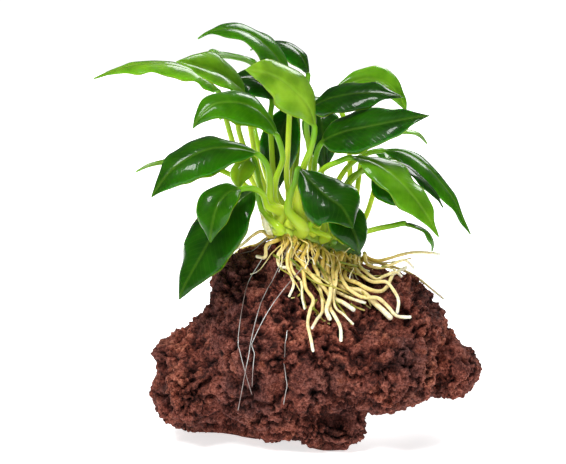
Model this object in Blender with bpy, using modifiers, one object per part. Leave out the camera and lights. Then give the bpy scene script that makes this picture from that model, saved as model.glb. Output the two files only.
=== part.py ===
"""Anubias on stone: a small broad-leaved water plant whose creeping stem is tied to a lump of lava rock.

Axes: +X to the right, +Y away from the front, +Z up. The origin is the middle of the stone's rest face.
Every size and route point below is in millimetres; mm() turns it into Blender's metres.
"""

import math
from collections import namedtuple

import bmesh
import bpy
import numpy as np
from mathutils import Vector, noise
from mathutils.bvhtree import BVHTree

MODEL_NAME = "anubias_on_stone"
GAP = 0.3                   # clearance kept between touching pieces
LEAF_FOOT_GAP = 0.5         # clearance under the broad foot of a leaf stalk
FOOT_GAP = 0.4              # clearance under a root, the bud or a line where it meets the stem
CURVE_STEPS = 12            # points that a smooth curve puts in each span of its route

# Colours, as linear red, green and blue
STONE_COLOUR = (0.11, 0.045, 0.035)
STEM_COLOUR = (0.20, 0.32, 0.04)
OLD_LEAF_COLOUR = (0.008, 0.06, 0.006)
YOUNG_LEAF_COLOUR = (0.16, 0.34, 0.01)
ROOT_COLOUR = (0.75, 0.62, 0.30)
LINE_COLOUR = (0.75, 0.78, 0.75)

# Lava stone: overlapping lobes (centre, radii), then lumps and pits worked into their shared skin
STONE_LOBES = {
    "main": ((-9, 0, 31), (38, 35, 31)),
    "ridge": ((-9, 8, 49), (20, 34, 22)),
    "peak": ((-23.5, 3, 49), (15.7, 23, 20.5)),
    "shoulder": ((13, 6, 45), (21, 27, 19)),
    "left": ((-45, -2, 21), (14, 24, 18.5)),
    "left_knob": ((-53, -6, 31), (6, 10, 8)),
    "right": ((30, 5, 42), (18.5, 26, 17.5)),
    "front": ((23, -19, 31), (20, 20, 16)),
    "far_right": ((48, 7, 24), (13, 18, 12.5)),
    "front_lump": ((4, -16, 11.5), (15, 14, 12)),
    "foot": ((-15, 9, 13), (34, 25, 16)),
    "left_foot": ((-38, 3, 12), (17, 18, 12.5)),
}
STONE_VOXEL = 1.7           # grid that fuses the lobes into one skin
STONE_LUMPS = ((15.0, 3.4), (6.5, 1.3))     # (size, height) of the two scales of lumps
STONE_FACES = 1360          # triangles left on the stone
CREASE_EASING = (0.5, 6)    # factor and rounds of smoothing where the lobes meet
LUMP_EASING = (0.5, 1)      # the same once the lumps and pits are in
REST_CUT = 60.0             # half width of the block that cuts the rest face
BED_REACH = 9.0             # how far from the stem's axis the stone rises or sinks to bear it
BED_DEPTH = 0.9             # how deep the stem lies in its bed
BED_FLOOR = 45.0            # only skin above this height, and facing up by BED_FACING, makes the bed
BED_FACING = 0.2
SEAT_GAP = 0.45             # clearance between the stem and the seat cut for it
SEAT_RUN_OUT = 2.5          # how far the bed runs past the stem's ends

# Pits and crevices in the skin in front of PIT_BACK: (x, z, half width, half height, depth)
PIT_BACK = 5.0
STONE_PITS = [
    (8.5, 12, 6.5, 4.5, 7), (17, 7, 2.5, 2.5, 3), (27, 32, 3, 2.2, 2.5), (31, 27, 4, 2.2, 2.5),
    (-23, 14, 3.5, 4.5, 3.5), (-13, 24, 4.5, 4, 3), (-37, 13, 5, 6, 3), (-38, 35, 7, 2.2, 3),
    (45, 24, 2.4, 9, 4), (-53, 15, 3, 2.5, 2.5), (21, 25, 3, 2.5, 2), (50, 26, 2.5, 2.5, 2),
]

# Creeping stem: a main axis along the top of the stone and a branch that runs straight back
STEM_RADIUS = 3.1
STEM_AXES = {
    "A": [(-14.5, -6, 77.5), (-9, -4, 75.5), (-3, -2, 74), (2.5, 1, 71), (9.5, 4, 68.5), (16, 8, 65.5)],
    "B": [(-5.5, -1, 74.5), (-8.5, 8, 73.5), (-10.5, 18, 73), (-12, 30, 71.5)],
}
STEM_STATIONS = {"A": 13, "B": 10}
STEM_SCAR = 0.35            # how far the stem narrows between its leaf scars
STEM_END = 0.75             # share of the stem's radius left at its blunt ends
STEM_SIDES = 8

# Young bud on the front of the stem: (step, radius) pairs from its foot to its tip
BUD_STATION = 0.578
BUD_ANGLE = -80
BUD_LIFT = 0.25
BUD_BEND = 1.5
BUD_PROFILE = [(0, 0.55), (1.4, 0.5), (1.2, 0.6), (0.6, 1.0), (0.8, 1.15), (0.7, 0.95), (0.5, 0.35)]

# Leaves
STALK_RADIUS = 1.0
SHEATH_RADIUS = 1.85        # stalk radius where it clasps the stem
SHEATH_REACH = 0.18         # share of the stalk over which the sheath narrows
STALK_SPACING = 15.0        # about one ring of the stalk for each of these
BLADE_SPACING = 6.0         # about one ring of the blade for each of these
BLADE_SIDE_STEPS = 2        # points from midrib to margin on each face
MARGIN_THICKNESS = 0.3
RIB_THICKNESS = 1.2
RIB_REACH = 1.2             # how fast the thickness falls off beside the midrib
RIB_ABOVE = 0.3             # share of the thickness that stands on the upper face; the rest is below
BLADE_FULLNESS = 0.85       # below 1 the blade's outline is fuller than a sine wave
TIP_TAPER = 0.3             # how much the outline draws in towards the tip
LEAF_STEPS = 60             # fine steps along a stalk, and along a blade
TIP_HALF_WIDTH = 0.15
BLADE_ENTRY = 0.05          # share of the blade over which the round stalk turns into the flat blade

# Roots
ROOT_STEP = 4.8             # length of one straight run of a root
ROOT_RUN_OUT = 1.8          # a root leaves the stem square to it for this far
SETTLING_PASSES = 30
SETTLING_STRIDE = 0.8       # the most that one pass moves a point
RUN_SHARES = (0.0, 0.25, 0.5, 0.75)     # places tested on each straight run
PASS_ASIDE = 0.5            # how much a root moves aside from one already laid
PASS_OVER = 0.8             # how much it rises over it

# Fishing line that ties the stem to the stone
LINE_RADIUS = 0.15
LINE_STEP = 6.0

# station, angles: where the line lies round the stem; back, front: its route up the back of the stone
# and down its face, both ends tucked into the rough skin
Tie = namedtuple("Tie", "name station angles back front")
TIE_LINES = [
    Tie("tie_line_1", 0.068, (95, 45, 0, -45, -80),
        back=[(-45, 24, 12), (-46, 19, 22), (-41.5, 17.5, 37.5), (-32, 13.5, 51),
              (-30.5, 9.5, 65.5), (-19.5, 2.5, 68.5)],
        front=[(-18, -10.5, 70), (-24, -14, 61.5), (-25.5, -17, 56),
               (-26.5, -24.5, 47), (-26.5, -28, 44.5), (-24.5, -32.5, 33), (-22, -31, 24)]),
    Tie("tie_line_2", 0.556, (95, 45, 0, -45, -95),
        back=[(-3, 34.5, 16), (1.5, 33.5, 28), (1.5, 36, 43.5), (5, 30, 55), (6, 21, 62.5),
              (4.5, 10, 66.5)],
        front=[(0, -7.5, 67), (-5, -15.5, 63.5), (-9.5, -21.5, 60), (-12, -22.5, 58.5),
               (-17.5, -25, 51), (-20, -27.5, 47), (-21.5, -32, 43), (-21.5, -33.5, 35),
               (-22, -31.5, 27)]),
    Tie("tie_line_3", 0.158, (-98, -110),
        back=[],
        front=[(-13.5, -13, 64), (-15.5, -15, 61.5), (-18.5, -20.5, 56.5), (-19.5, -23.5, 53.5),
               (-21.5, -27.5, 47), (-23.5, -33.5, 36), (-27, -30.5, 18)]),
]

# axis, station, angle: where the root leaves the stem, as for a leaf; radius at its foot and its tip;
# route: points on the stone's face that it runs over
Root = namedtuple("Root", "name axis station angle radius tip_radius route")
ROOTS = [
    Root("root_01", "A", 0.075, -118, 0.8, 0.6, [(-16, -8, 73), (-16.5, -10, 69.5), (-18, -10, 67.5),
        (-20.5, -8, 68)]),
    Root("root_02", "A", 0.0, -128, 0.75, 0.5, [(-20.5, -4, 77), (-23, -4, 74), (-26.5, -4, 71.5),
        (-29.5, -4, 69.5)]),
    Root("root_03", "A", 0.122, -106, 0.8, 0.6, [(-12.5, -9.5, 71), (-13.5, -11, 68), (-13, -12.5, 65.5),
        (-11.5, -14, 63.5), (-9.5, -13.5, 64)]),
    Root("root_04", "A", 0.18, -122, 0.8, 0.65, [(-10.5, -9.5, 69.5), (-9.5, -11, 67), (-7, -12.5, 65)]),
    Root("root_05", "A", 0.43, -106, 0.8, 0.55, [(-3, -6, 70), (-5, -10, 67), (-4.5, -14, 64.5),
        (-4.5, -18.5, 60), (-3.5, -19.5, 57.5), (-1.5, -20.5, 55.5), (-2, -23, 52.5), (-3, -26, 50),
        (-3, -28.5, 47), (-2, -30.5, 44.5), (-1, -33, 39.5)]),
    Root("root_06", "A", 0.48, -122, 0.75, 0.5, [(-1, -8.5, 66.5), (0, -14, 62.5), (1, -17, 58),
        (2, -20, 53.5), (1.5, -24, 50), (-0.5, -28, 48), (-2, -29.5, 45.5)]),
    Root("root_07", "A", 0.32, -106, 0.8, 0.6, [(-7, -9, 68.5), (-6, -13, 65), (-3.5, -15.5, 62),
        (0, -16.5, 59), (3, -17, 56), (4.5, -19.5, 52.5), (5.5, -23.5, 50.5), (7.5, -27.5, 48),
        (8, -28.5, 45), (8, -30, 42)]),
    Root("root_08", "A", 0.53, -106, 0.8, 0.75, [(1.5, -8, 64), (3, -10.5, 59.5), (2, -17.5, 56),
        (3, -21, 51.5), (5, -27, 48.5)]),
    Root("root_09", "A", 0.27, -122, 0.6, 0.4, [(-8.5, -11, 66.5), (-7.5, -17, 62.5), (-5.5, -19.5, 60),
        (-5.5, -22, 56.5), (-5, -23, 54), (-4, -24.5, 52)]),
    Root("root_10", "A", 0.225, -106, 0.65, 0.45, [(-10, -11.5, 67), (-8.5, -16.5, 62.5), (-8, -22.5, 59),
        (-9.5, -23.5, 56.5)]),
    Root("root_12", "A", 0.58, -122, 0.75, 0.55, [(2.5, -7.5, 63), (4, -9.5, 58.5), (6.5, -13.5, 56),
        (9.5, -14, 54.5), (12, -16, 53.5), (14.5, -17.5, 53), (17.5, -16.5, 52.5)]),
    Root("root_13", "A", 0.63, -106, 0.8, 0.8, [(3, -8, 61), (4.5, -13, 57), (7, -17.5, 53.5),
        (10, -20, 52.5), (13, -21, 50)]),
    Root("root_14", "A", 0.725, -106, 0.8, 1.0, [(6, -5.5, 61.5), (9.5, -11.5, 57.5), (13, -13, 56.5),
        (16.5, -14, 56), (19, -15.5, 54), (21, -16.5, 51.5), (23.5, -17.5, 50), (26.5, -19, 47)]),
    Root("root_15", "A", 0.835, -106, 0.75, 0.6, [(11, -8.5, 60.5), (14.5, -12.5, 57.5),
        (18, -14.5, 55.5), (21.5, -14, 56), (24.5, -11, 56.5), (26.5, -7.5, 58.5), (27.5, -4, 60),
        (30, 3, 60.5), (34, 3, 62.5)]),
    Root("root_16", "A", 0.945, -102, 0.7, 0.5, [(15.5, -1.5, 63.5), (17.5, -8.5, 62.5), (20, -10.5, 60),
        (22.5, -8, 59.5), (26, -5.5, 60), (31.5, -0.5, 59.5)]),
    Root("root_17", "A", 0.89, -100, 0.75, 0.55, [(14.5, -5, 62.5), (18.5, -11.5, 59), (23, -9.5, 58.5),
        (26.5, -11, 56.5), (28.5, -15, 55), (29.5, -17, 52.5), (28.5, -18.5, 49.5)]),
    Root("root_18", "A", 0.78, -122, 0.75, 0.6, [(9.5, -8.5, 60), (13, -14.5, 55), (17, -15.5, 54),
        (20.5, -15.5, 53), (24.5, -16.5, 51.5), (27, -17.5, 50), (30, -18.5, 48.5), (33.5, -19, 48.5)]),
    Root("root_19", "A", 1.0, -55, 0.75, 0.5, [(19.5, 2, 64.5), (24, 3, 65), (28.5, 5, 65.5),
        (33, 7, 66.5), (39, 8, 67), (46.5, 9, 66)]),
    Root("root_20", "A", 1.0, -112, 0.7, 0.45, [(18.5, -4, 62.5), (23, -3.5, 62.5), (27, -2.5, 64),
        (31.5, -1, 65.5), (34.5, -1, 65), (36, -1, 62.5)]),
    Root("root_21", "A", 0.95, 112, 0.65, 0.45, [(23.5, 20, 61), (31, 20, 59), (37.5, 18, 56.5),
        (43.5, 17, 52), (49, 17, 47.5)]),
    Root("root_22", "A", 0.675, -122, 0.6, 0.4, [(5.5, -8.5, 58.5), (6.5, -20.5, 52), (8.5, -24.5, 50.5),
        (12.5, -26, 47)]),
    Root("root_23", "B", 0.5, -110, 0.8, 0.55, [(-17.5, 14, 69), (-25.5, 18.5, 65.5), (-30.5, 18, 52),
        (-37, 19, 43)]),
    Root("root_11", "B", 0.85, 108, 0.8, 0.55, [(-4.5, 31.5, 65), (-1, 36.5, 57.5), (0, 39, 49),
        (-3.5, 39, 40.5)]),
]

# axis, station, angle: where on the stem the leaf stands, the angle counted round it from straight up,
# towards the back positive
# stalk, blade: points along the stalk and along the midrib, blade base to tip
# face: the way the upper face looks at mid blade; fold: rise in degrees of the far or right half and
# of the near or left half; broadest: share of the blade's length where it is widest; twist: degrees
# youth: 0 for an old dark leaf to 1 for a young bright one
Leaf = namedtuple("Leaf", "name axis station angle stalk blade face half_width fold broadest twist youth")
LEAVES = [
    Leaf("leaf_01", "A", 0.135, 0,
         stalk=[(-15.5, -6, 86.5), (-16, -8, 94.5), (-17, -11, 101)],
         blade=[(-20, -13, 105), (-27.5, -15, 107.5), (-38, -18, 107), (-49, -21, 101), (-56.5, -23, 91.5)],
         face=(-0.15, -0.62, 0.77), half_width=10.2, fold=(-14, -18), broadest=0.5, twist=0, youth=0.25),
    Leaf("leaf_02", "A", 0.178, 55,
         stalk=[(-14.5, -4, 88), (-14, -4, 95), (-11.5, -5, 102.5), (-12, -6, 106.5)],
         blade=[(-13.5, -7, 111), (-16.5, -8, 116.5), (-21.5, -10, 121), (-27.5, -12, 123),
                (-35, -14, 122.5), (-40, -16, 118.5), (-42.5, -17, 114.5)],
         face=(-0.25, -0.66, 0.7), half_width=8.2, fold=(-12, -22), broadest=0.45, twist=0, youth=0.35),
    Leaf("leaf_03", "A", 0.26, 5,
         stalk=[(-6.5, -8, 90), (-4, -11, 101), (-1.5, -13, 108)],
         blade=[(-0.5, -14, 114.5), (-2.5, -16, 121.5), (-6.5, -18, 126.5), (-11.5, -19, 131),
                (-16.5, -21, 133.5), (-20.5, -23, 134.5), (-24, -25, 135)],
         face=(0.3, -0.72, 0.62), half_width=9.0, fold=(-8, -12), broadest=0.48, twist=0, youth=0.75),
    Leaf("leaf_04", "B", 0.24, 58,
         stalk=[(-9.5, 10, 89.5), (-9.5, 10, 108), (-9, 10, 121)],
         blade=[(-9.5, 8, 130.5), (-13, 5, 137), (-18.5, 2, 143), (-25, -1, 147), (-31.5, -4, 148),
                (-37, -6, 147), (-41, -8, 145)],
         face=(-0.1, -0.5, 0.85), half_width=9.4, fold=(-8, -6), broadest=0.36, twist=45, youth=0.5),
    Leaf("leaf_05", "B", 0.6, 20,
         stalk=[(-8, 24, 88), (-7.5, 30, 106), (-4.5, 31, 121)],
         blade=[(-2, 30, 130.5), (-5, 30, 138), (-10.5, 33, 142), (-17, 38, 142.5), (-24, 44, 139.5)],
         face=(0.2, -0.2, 0.95), half_width=8.0, fold=(-15, -15), broadest=0.42, twist=0, youth=0.2),
    Leaf("leaf_06", "B", 0.8, -14,
         stalk=[(-18, 26, 87.5), (-23, 30, 106), (-24, 32, 121)],
         blade=[(-19.5, 32, 131.5), (-24, 32, 135.5), (-30, 33, 137), (-35, 35, 137.5),
                (-38.5, 36, 139.5), (-40.5, 36, 138)],
         face=(-0.1, 0.12, 1.0), half_width=6.0, fold=(10, 10), broadest=0.45, twist=0, youth=0.5),
    Leaf("leaf_07", "B", 0.62, -48,
         stalk=[(-21, 24, 88), (-29, 22, 103), (-32.5, 20, 115)],
         blade=[(-35, 17, 125), (-40, 15, 130), (-46, 12, 133.5), (-54, 8, 135.5), (-66, 3, 135),
                (-78, -3, 131)],
         face=(-0.4, -0.3, 0.85), half_width=9.0, fold=(-8, -24), broadest=0.3, twist=0, youth=0.8),
    Leaf("leaf_08", "B", 0.44, -30,
         stalk=[(-19, 19, 88.5), (-25.5, 15, 104), (-28, 11, 116)],
         blade=[(-25.5, 9, 124.5), (-29.5, 6, 129), (-34.5, 2.5, 132.5), (-41.5, -2, 135),
                (-48.5, -7, 137)],
         face=(0.1, -0.6, 0.8), half_width=8.8, fold=(14, 2), broadest=0.4, twist=0, youth=0.6),
    Leaf("leaf_09", "A", 0.49, 0,
         stalk=[(-1, 3, 87), (-1.5, 5, 101), (-3, 5, 114)],
         blade=[(-2, 3, 119.5), (5, -2, 123.5), (13, -6, 125.5), (21.5, -9, 126), (30, -12, 125)],
         face=(0.05, -0.7, 0.71), half_width=8.4, fold=(-4, -12), broadest=0.42, twist=0, youth=0.12),
    Leaf("leaf_10", "A", 0.75, 62,
         stalk=[(12, 16, 81.5), (13.5, 22, 99.5), (11.5, 26, 114)],
         blade=[(8, 27, 124.5), (13.5, 28, 127.5), (20.5, 29, 129), (27, 30, 127.5), (32, 30, 122.5),
                (35, 29, 117)],
         face=(-0.1, -0.75, 0.62), half_width=6.2, fold=(4, 4), broadest=0.55, twist=0, youth=1.0),
    Leaf("leaf_11", "A", 0.37, 32,
         stalk=[(-2, -4, 88), (-0.5, -6, 97), (0, -7, 103)],
         blade=[(2, -9, 108.5), (9, -12, 112.5), (18.5, -16, 115), (29, -20, 117.5), (38, -24, 119.5)],
         face=(0.1, -0.74, 0.66), half_width=9.8, fold=(-6, -8), broadest=0.36, twist=0, youth=0.22),
    Leaf("leaf_12", "A", 0.88, 32,
         stalk=[(15.5, 16, 85), (18, 23, 99.5), (20.5, 27, 105.5)],
         blade=[(23, 29, 109), (29, 31, 110), (35, 32, 109.5), (40, 33, 108), (43.5, 33, 104.5)],
         face=(0.1, 0.2, 0.97), half_width=6.0, fold=(-10, -10), broadest=0.42, twist=0, youth=0.6),
    Leaf("leaf_13", "A", 0.37, -30,
         stalk=[(-4.5, -9, 88.5), (-1.5, -10, 94), (3, -11, 100), (8, -12, 102.5)],
         blade=[(12, -13, 104), (19, -16, 103), (26, -19, 99), (32.5, -22, 92.5), (38, -24, 85),
                (42, -25, 78)],
         face=(0.45, -0.62, 0.64), half_width=8.0, fold=(-12, -6), broadest=0.47, twist=0, youth=0.3),
    Leaf("leaf_14", "A", 0.62, 32,
         stalk=[(6, 13, 85.5), (11.5, 15, 96.5), (18.5, 16, 102)],
         blade=[(25, 16, 103.5), (33, 14, 103), (40.5, 12, 98.5), (46.5, 10, 92), (51.5, 8, 85),
                (54.5, 7, 78.5), (57, 6, 74)],
         face=(0.45, -0.4, 0.8), half_width=7.8, fold=(-10, -16), broadest=0.38, twist=0, youth=0.3),
    Leaf("leaf_15", "A", 0.62, -28,
         stalk=[(7.5, 2, 85), (13.5, 2, 94.5), (20.5, 1, 100.5)],
         blade=[(26, 0, 101.5), (31.5, -2, 100), (37, -4, 96), (42, -5, 91), (45.5, -6, 85.5)],
         face=(0.45, -0.15, 0.88), half_width=5.6, fold=(-10, -10), broadest=0.42, twist=0, youth=0.1),
    Leaf("leaf_16", "A", 0.25, -58,
         stalk=[(-9.5, -10, 85), (-8.5, -12, 92), (-7, -14, 96)],
         blade=[(-6, -16, 100.5), (-2, -19, 96.5), (3.5, -22, 91.5), (8.5, -24, 88), (12.5, -25, 81)],
         face=(0.38, -0.78, 0.5), half_width=10.4, fold=(-26, 0), broadest=0.58, twist=0, youth=0.12),
    Leaf("leaf_17", "A", 0.49, -62,
         stalk=[(-2, -8, 78.5), (1, -11, 82.5)],
         blade=[(4.5, -14, 86), (7.5, -16, 85.5), (11.5, -18, 81.5), (14, -19, 76), (15, -19, 71)],
         face=(0.3, -0.85, 0.42), half_width=7.6, fold=(-6, -6), broadest=0.45, twist=0, youth=0.2),
    Leaf("leaf_18", "A", 0.74, 0,
         stalk=[(9, 12, 82), (13, 14, 93), (17.5, 14, 96)],
         blade=[(21, 13, 96.5), (25.5, 11, 94.5), (29.5, 9, 90.5), (32, 7, 87), (34.5, 5, 84)],
         face=(0.2, -0.85, 0.45), half_width=8.6, fold=(-4, -4), broadest=0.45, twist=0, youth=0.15),
    Leaf("leaf_19", "A", 0.87, -30,
         stalk=[(15, 2, 74), (21.5, 1, 76.5), (28, 0, 78)],
         blade=[(32.5, -1, 79), (36.5, -2, 78), (40, -3, 76), (42, -4, 72.5), (42, -5, 69.5)],
         face=(0.3, 0.05, 0.95), half_width=5.2, fold=(-6, -6), broadest=0.45, twist=0, youth=0.4),
    Leaf("leaf_20", "A", 0.0, -6,
         stalk=[(-17, -12, 87), (-18.5, -16, 91.5), (-22, -19, 94)],
         blade=[(-26, -22, 94), (-30, -25, 93), (-33, -28, 90), (-35, -30, 84), (-36, -31, 77)],
         face=(-0.35, -0.7, 0.62), half_width=7.6, fold=(14, 10), broadest=0.45, twist=0, youth=0.35),
    Leaf("leaf_21", "A", 0.0, -82,
         stalk=[(-18.5, -8, 84), (-20, -11, 89)],
         blade=[(-21, -13, 92.5), (-26.5, -16, 89), (-33.5, -19, 81), (-40, -21, 70), (-45, -22, 61),
                (-47.5, -22, 55.5)],
         face=(-0.4, -0.7, 0.58), half_width=11.4, fold=(-4, -6), broadest=0.45, twist=0, youth=0.1),
    Leaf("leaf_22", "B", 0.32, -62,
         stalk=[(-17.5, 10, 84), (-20, 10, 91.5), (-21, 9, 97)],
         blade=[(-22.5, 8, 101.5), (-25, 5, 101), (-26.5, 3, 98.5), (-27.5, 2, 95), (-27.5, 1, 91)],
         face=(-0.5, -0.8, 0.2), half_width=5.6, fold=(-16, -16), broadest=0.45, twist=0, youth=0.9),
    Leaf("leaf_23", "B", 0.8, -78,
         stalk=[(-19.5, 30, 81.5), (-28, 32, 90.5), (-37.5, 32, 95.5)],
         blade=[(-43.5, 31, 97.5), (-50.5, 29, 98.5), (-56, 27, 98), (-61.5, 25, 97), (-66.5, 23, 95)],
         face=(-0.1, 0.15, 0.98), half_width=6.0, fold=(8, 8), broadest=0.42, twist=0, youth=0.7),
    Leaf("leaf_24", "B", 0.2, -10,
         stalk=[(-14, 9, 90), (-15.5, 12, 104), (-16, 14, 117)],
         blade=[(-15.5, 15.5, 122), (-18, 16, 127), (-22.5, 17.5, 129.5), (-27.5, 18.5, 129.5),
                (-33, 18, 127)],
         face=(-0.1, -0.6, 0.79), half_width=8.0, fold=(-6, -6), broadest=0.45, twist=0, youth=0.08),
    Leaf("leaf_25", "B", 0.42, 30,
         stalk=[(-7.5, 18, 88.5), (-6, 21, 103), (-6, 22, 113.5)],
         blade=[(-7, 21, 118.5), (-9.5, 19, 116), (-12, 17.5, 109), (-13.5, 16.5, 100), (-13.5, 15, 88.5)],
         face=(-0.1, -0.95, 0.2), half_width=7.6, fold=(-6, -6), broadest=0.45, twist=0, youth=0.06),
    Leaf("leaf_26", "A", 0.51, 60,
         stalk=[(2, 12, 84), (3, 21, 97.5), (2.5, 28, 111)],
         blade=[(2, 28, 116.5), (2, 24, 118), (2.5, 20, 115), (3.5, 18.5, 106), (3.5, 18.5, 95.5)],
         face=(0.1, -0.95, 0.2), half_width=7.4, fold=(-6, -6), broadest=0.45, twist=0, youth=0.06),
    Leaf("leaf_27", "B", 0.92, 40,
         stalk=[(-9.5, 36, 84.5), (-8, 38, 101.5), (-7, 40, 111)],
         blade=[(-6.5, 44, 116.5), (-4, 52, 120), (-0.5, 60, 120), (2.5, 68, 117), (4.5, 74, 112.5)],
         face=(0.1, 0.2, 0.97), half_width=9.0, fold=(-10, -10), broadest=0.44, twist=0, youth=0.4),
    Leaf("leaf_28", "B", 0.95, -40,
         stalk=[(-15.5, 36, 82.5), (-19.5, 40, 97.5), (-22, 43, 107)],
         blade=[(-23.5, 48, 112.5), (-26, 56, 115.5), (-29.5, 64, 116.5), (-33.5, 72, 114.5),
                (-37.5, 78, 110)],
         face=(-0.1, 0.2, 0.97), half_width=9.2, fold=(-10, -10), broadest=0.44, twist=0, youth=0.5),
    Leaf("leaf_29", "A", 0.97, 70,
         stalk=[(20, 24, 78.5), (24, 32, 89), (26.5, 36, 95)],
         blade=[(28.5, 42, 97.5), (31.5, 50, 99), (35, 58, 99), (39.5, 64, 95.5), (43.5, 68, 91)],
         face=(0.2, 0.2, 0.95), half_width=8.6, fold=(-10, -10), broadest=0.44, twist=0, youth=0.35),
]


def mm(value):
    """Millimetres to metres, for a number or a sequence of numbers."""
    return np.asarray(value, float) * 0.001


def unit(vector):
    vector = np.asarray(vector, float)
    return vector / np.linalg.norm(vector)


def smooth_curve(points):
    """A centripetal Catmull-Rom curve through the points, as a dense polyline."""
    points = [np.asarray(point, float) for point in points]
    points = [2 * points[0] - points[1]] + points + [2 * points[-1] - points[-2]]
    curve = []
    for p0, p1, p2, p3 in zip(points, points[1:], points[2:], points[3:]):
        t1 = math.sqrt(np.linalg.norm(p1 - p0))
        t2 = t1 + math.sqrt(np.linalg.norm(p2 - p1))
        t3 = t2 + math.sqrt(np.linalg.norm(p3 - p2))
        for step in range(CURVE_STEPS):
            t = t1 + (t2 - t1) * step / CURVE_STEPS
            a1 = (t1 - t) / t1 * p0 + t / t1 * p1
            a2 = (t2 - t) / (t2 - t1) * p1 + (t - t1) / (t2 - t1) * p2
            a3 = (t3 - t) / (t3 - t2) * p2 + (t - t2) / (t3 - t2) * p3
            b1 = (t2 - t) / t2 * a1 + t / t2 * a2
            b2 = (t3 - t) / (t3 - t1) * a2 + (t - t1) / (t3 - t1) * a3
            curve.append((t2 - t) / (t2 - t1) * b1 + (t - t1) / (t2 - t1) * b2)
    curve.append(points[-2])
    return np.array(curve)


def arc_lengths(curve):
    return np.concatenate([[0.0], np.cumsum(np.linalg.norm(np.diff(curve, axis=0), axis=1))])


def along(curve, shares):
    """Points at the given shares of a curve's length."""
    lengths = arc_lengths(curve)
    targets = np.asarray(shares, float) * lengths[-1]
    return np.stack([np.interp(targets, lengths, curve[:, axis]) for axis in range(3)], axis=1)


def turned_frames(path, start, face, twist_degrees, turn):
    """Tangent, normal and side along a path, with as little turning as the path allows.

    The normal at index start is face made square to the path; turn runs from -1 to 1 along the blade
    and shares out the leaf's own twist.
    """
    tangents = np.gradient(path, axis=0)
    tangents /= np.linalg.norm(tangents, axis=1)[:, None]
    normals = np.zeros_like(path)
    face = np.asarray(face, float)
    normals[start] = unit(face - tangents[start] * face.dot(tangents[start]))
    for step, indices in ((1, range(start, len(path) - 1)), (-1, range(start, 0, -1))):
        for here in indices:
            there = here + step
            chord = path[there] - path[here]
            normal = normals[here] - 2 * chord.dot(normals[here]) / chord.dot(chord) * chord
            tangent = tangents[here] - 2 * chord.dot(tangents[here]) / chord.dot(chord) * chord
            swing = tangents[there] - tangent
            if swing.dot(swing) > 1e-12:
                normal = normal - 2 * swing.dot(normal) / swing.dot(swing) * swing
            normals[there] = normal
    angles = np.radians(twist_degrees) * 0.5 * turn
    sides = np.cross(tangents, normals)
    turned = normals * np.cos(angles)[:, None] + sides * np.sin(angles)[:, None]
    return tangents, turned, np.cross(tangents, turned)


def stem_curve(axis):
    return smooth_curve(STEM_AXES[axis])


def stem_seat(axis, station, angle, clearance=GAP):
    """A point just off the stem's skin and the way out from the stem there."""
    curve = stem_curve(axis)
    here, ahead = along(curve, [station, min(1.0, station + 0.02)])
    behind = along(curve, [max(0.0, station - 0.02)])[0]
    tangent = unit(ahead - behind)
    up = unit(np.array([0, 0, 1.0]) - tangent * tangent[2])
    back = np.cross(up, tangent)
    if (back[1] if axis == "A" else back[0]) < 0:
        back = -back
    outward = up * math.cos(math.radians(angle)) + back * math.sin(math.radians(angle))
    return here + outward * (STEM_RADIUS + clearance), outward


def half_width_at(share, broadest):
    """Half width of a blade, as a share of its greatest, from its base (0) to its tip (1)."""
    power = math.log(0.5) / math.log(broadest)
    return np.sin(np.pi * share ** power) ** BLADE_FULLNESS * (1 - TIP_TAPER * share ** 5)


def blade_section(leaf, share, across, face):
    """Side and height offsets of a blade's section; across runs -1 to 1, face is 1 on top and -1 below."""
    width = max(leaf.half_width * half_width_at(share, leaf.broadest), TIP_HALF_WIDTH)
    if share >= 1:
        width = TIP_HALF_WIDTH
    rise = np.radians(np.where(across > 0, leaf.fold[0], leaf.fold[1]))
    reach = np.abs(across) * width
    rib = MARGIN_THICKNESS + (RIB_THICKNESS - MARGIN_THICKNESS) * (1 - share)
    thickness = MARGIN_THICKNESS + (rib - MARGIN_THICKNESS) * np.exp(-reach / RIB_REACH)
    thickness = np.where(np.abs(across) > 0.999, 0, thickness)
    height = reach * np.sin(rise) + thickness * np.where(face > 0, RIB_ABOVE, RIB_ABOVE - 1)
    return width * across * np.cos(rise), height


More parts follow.
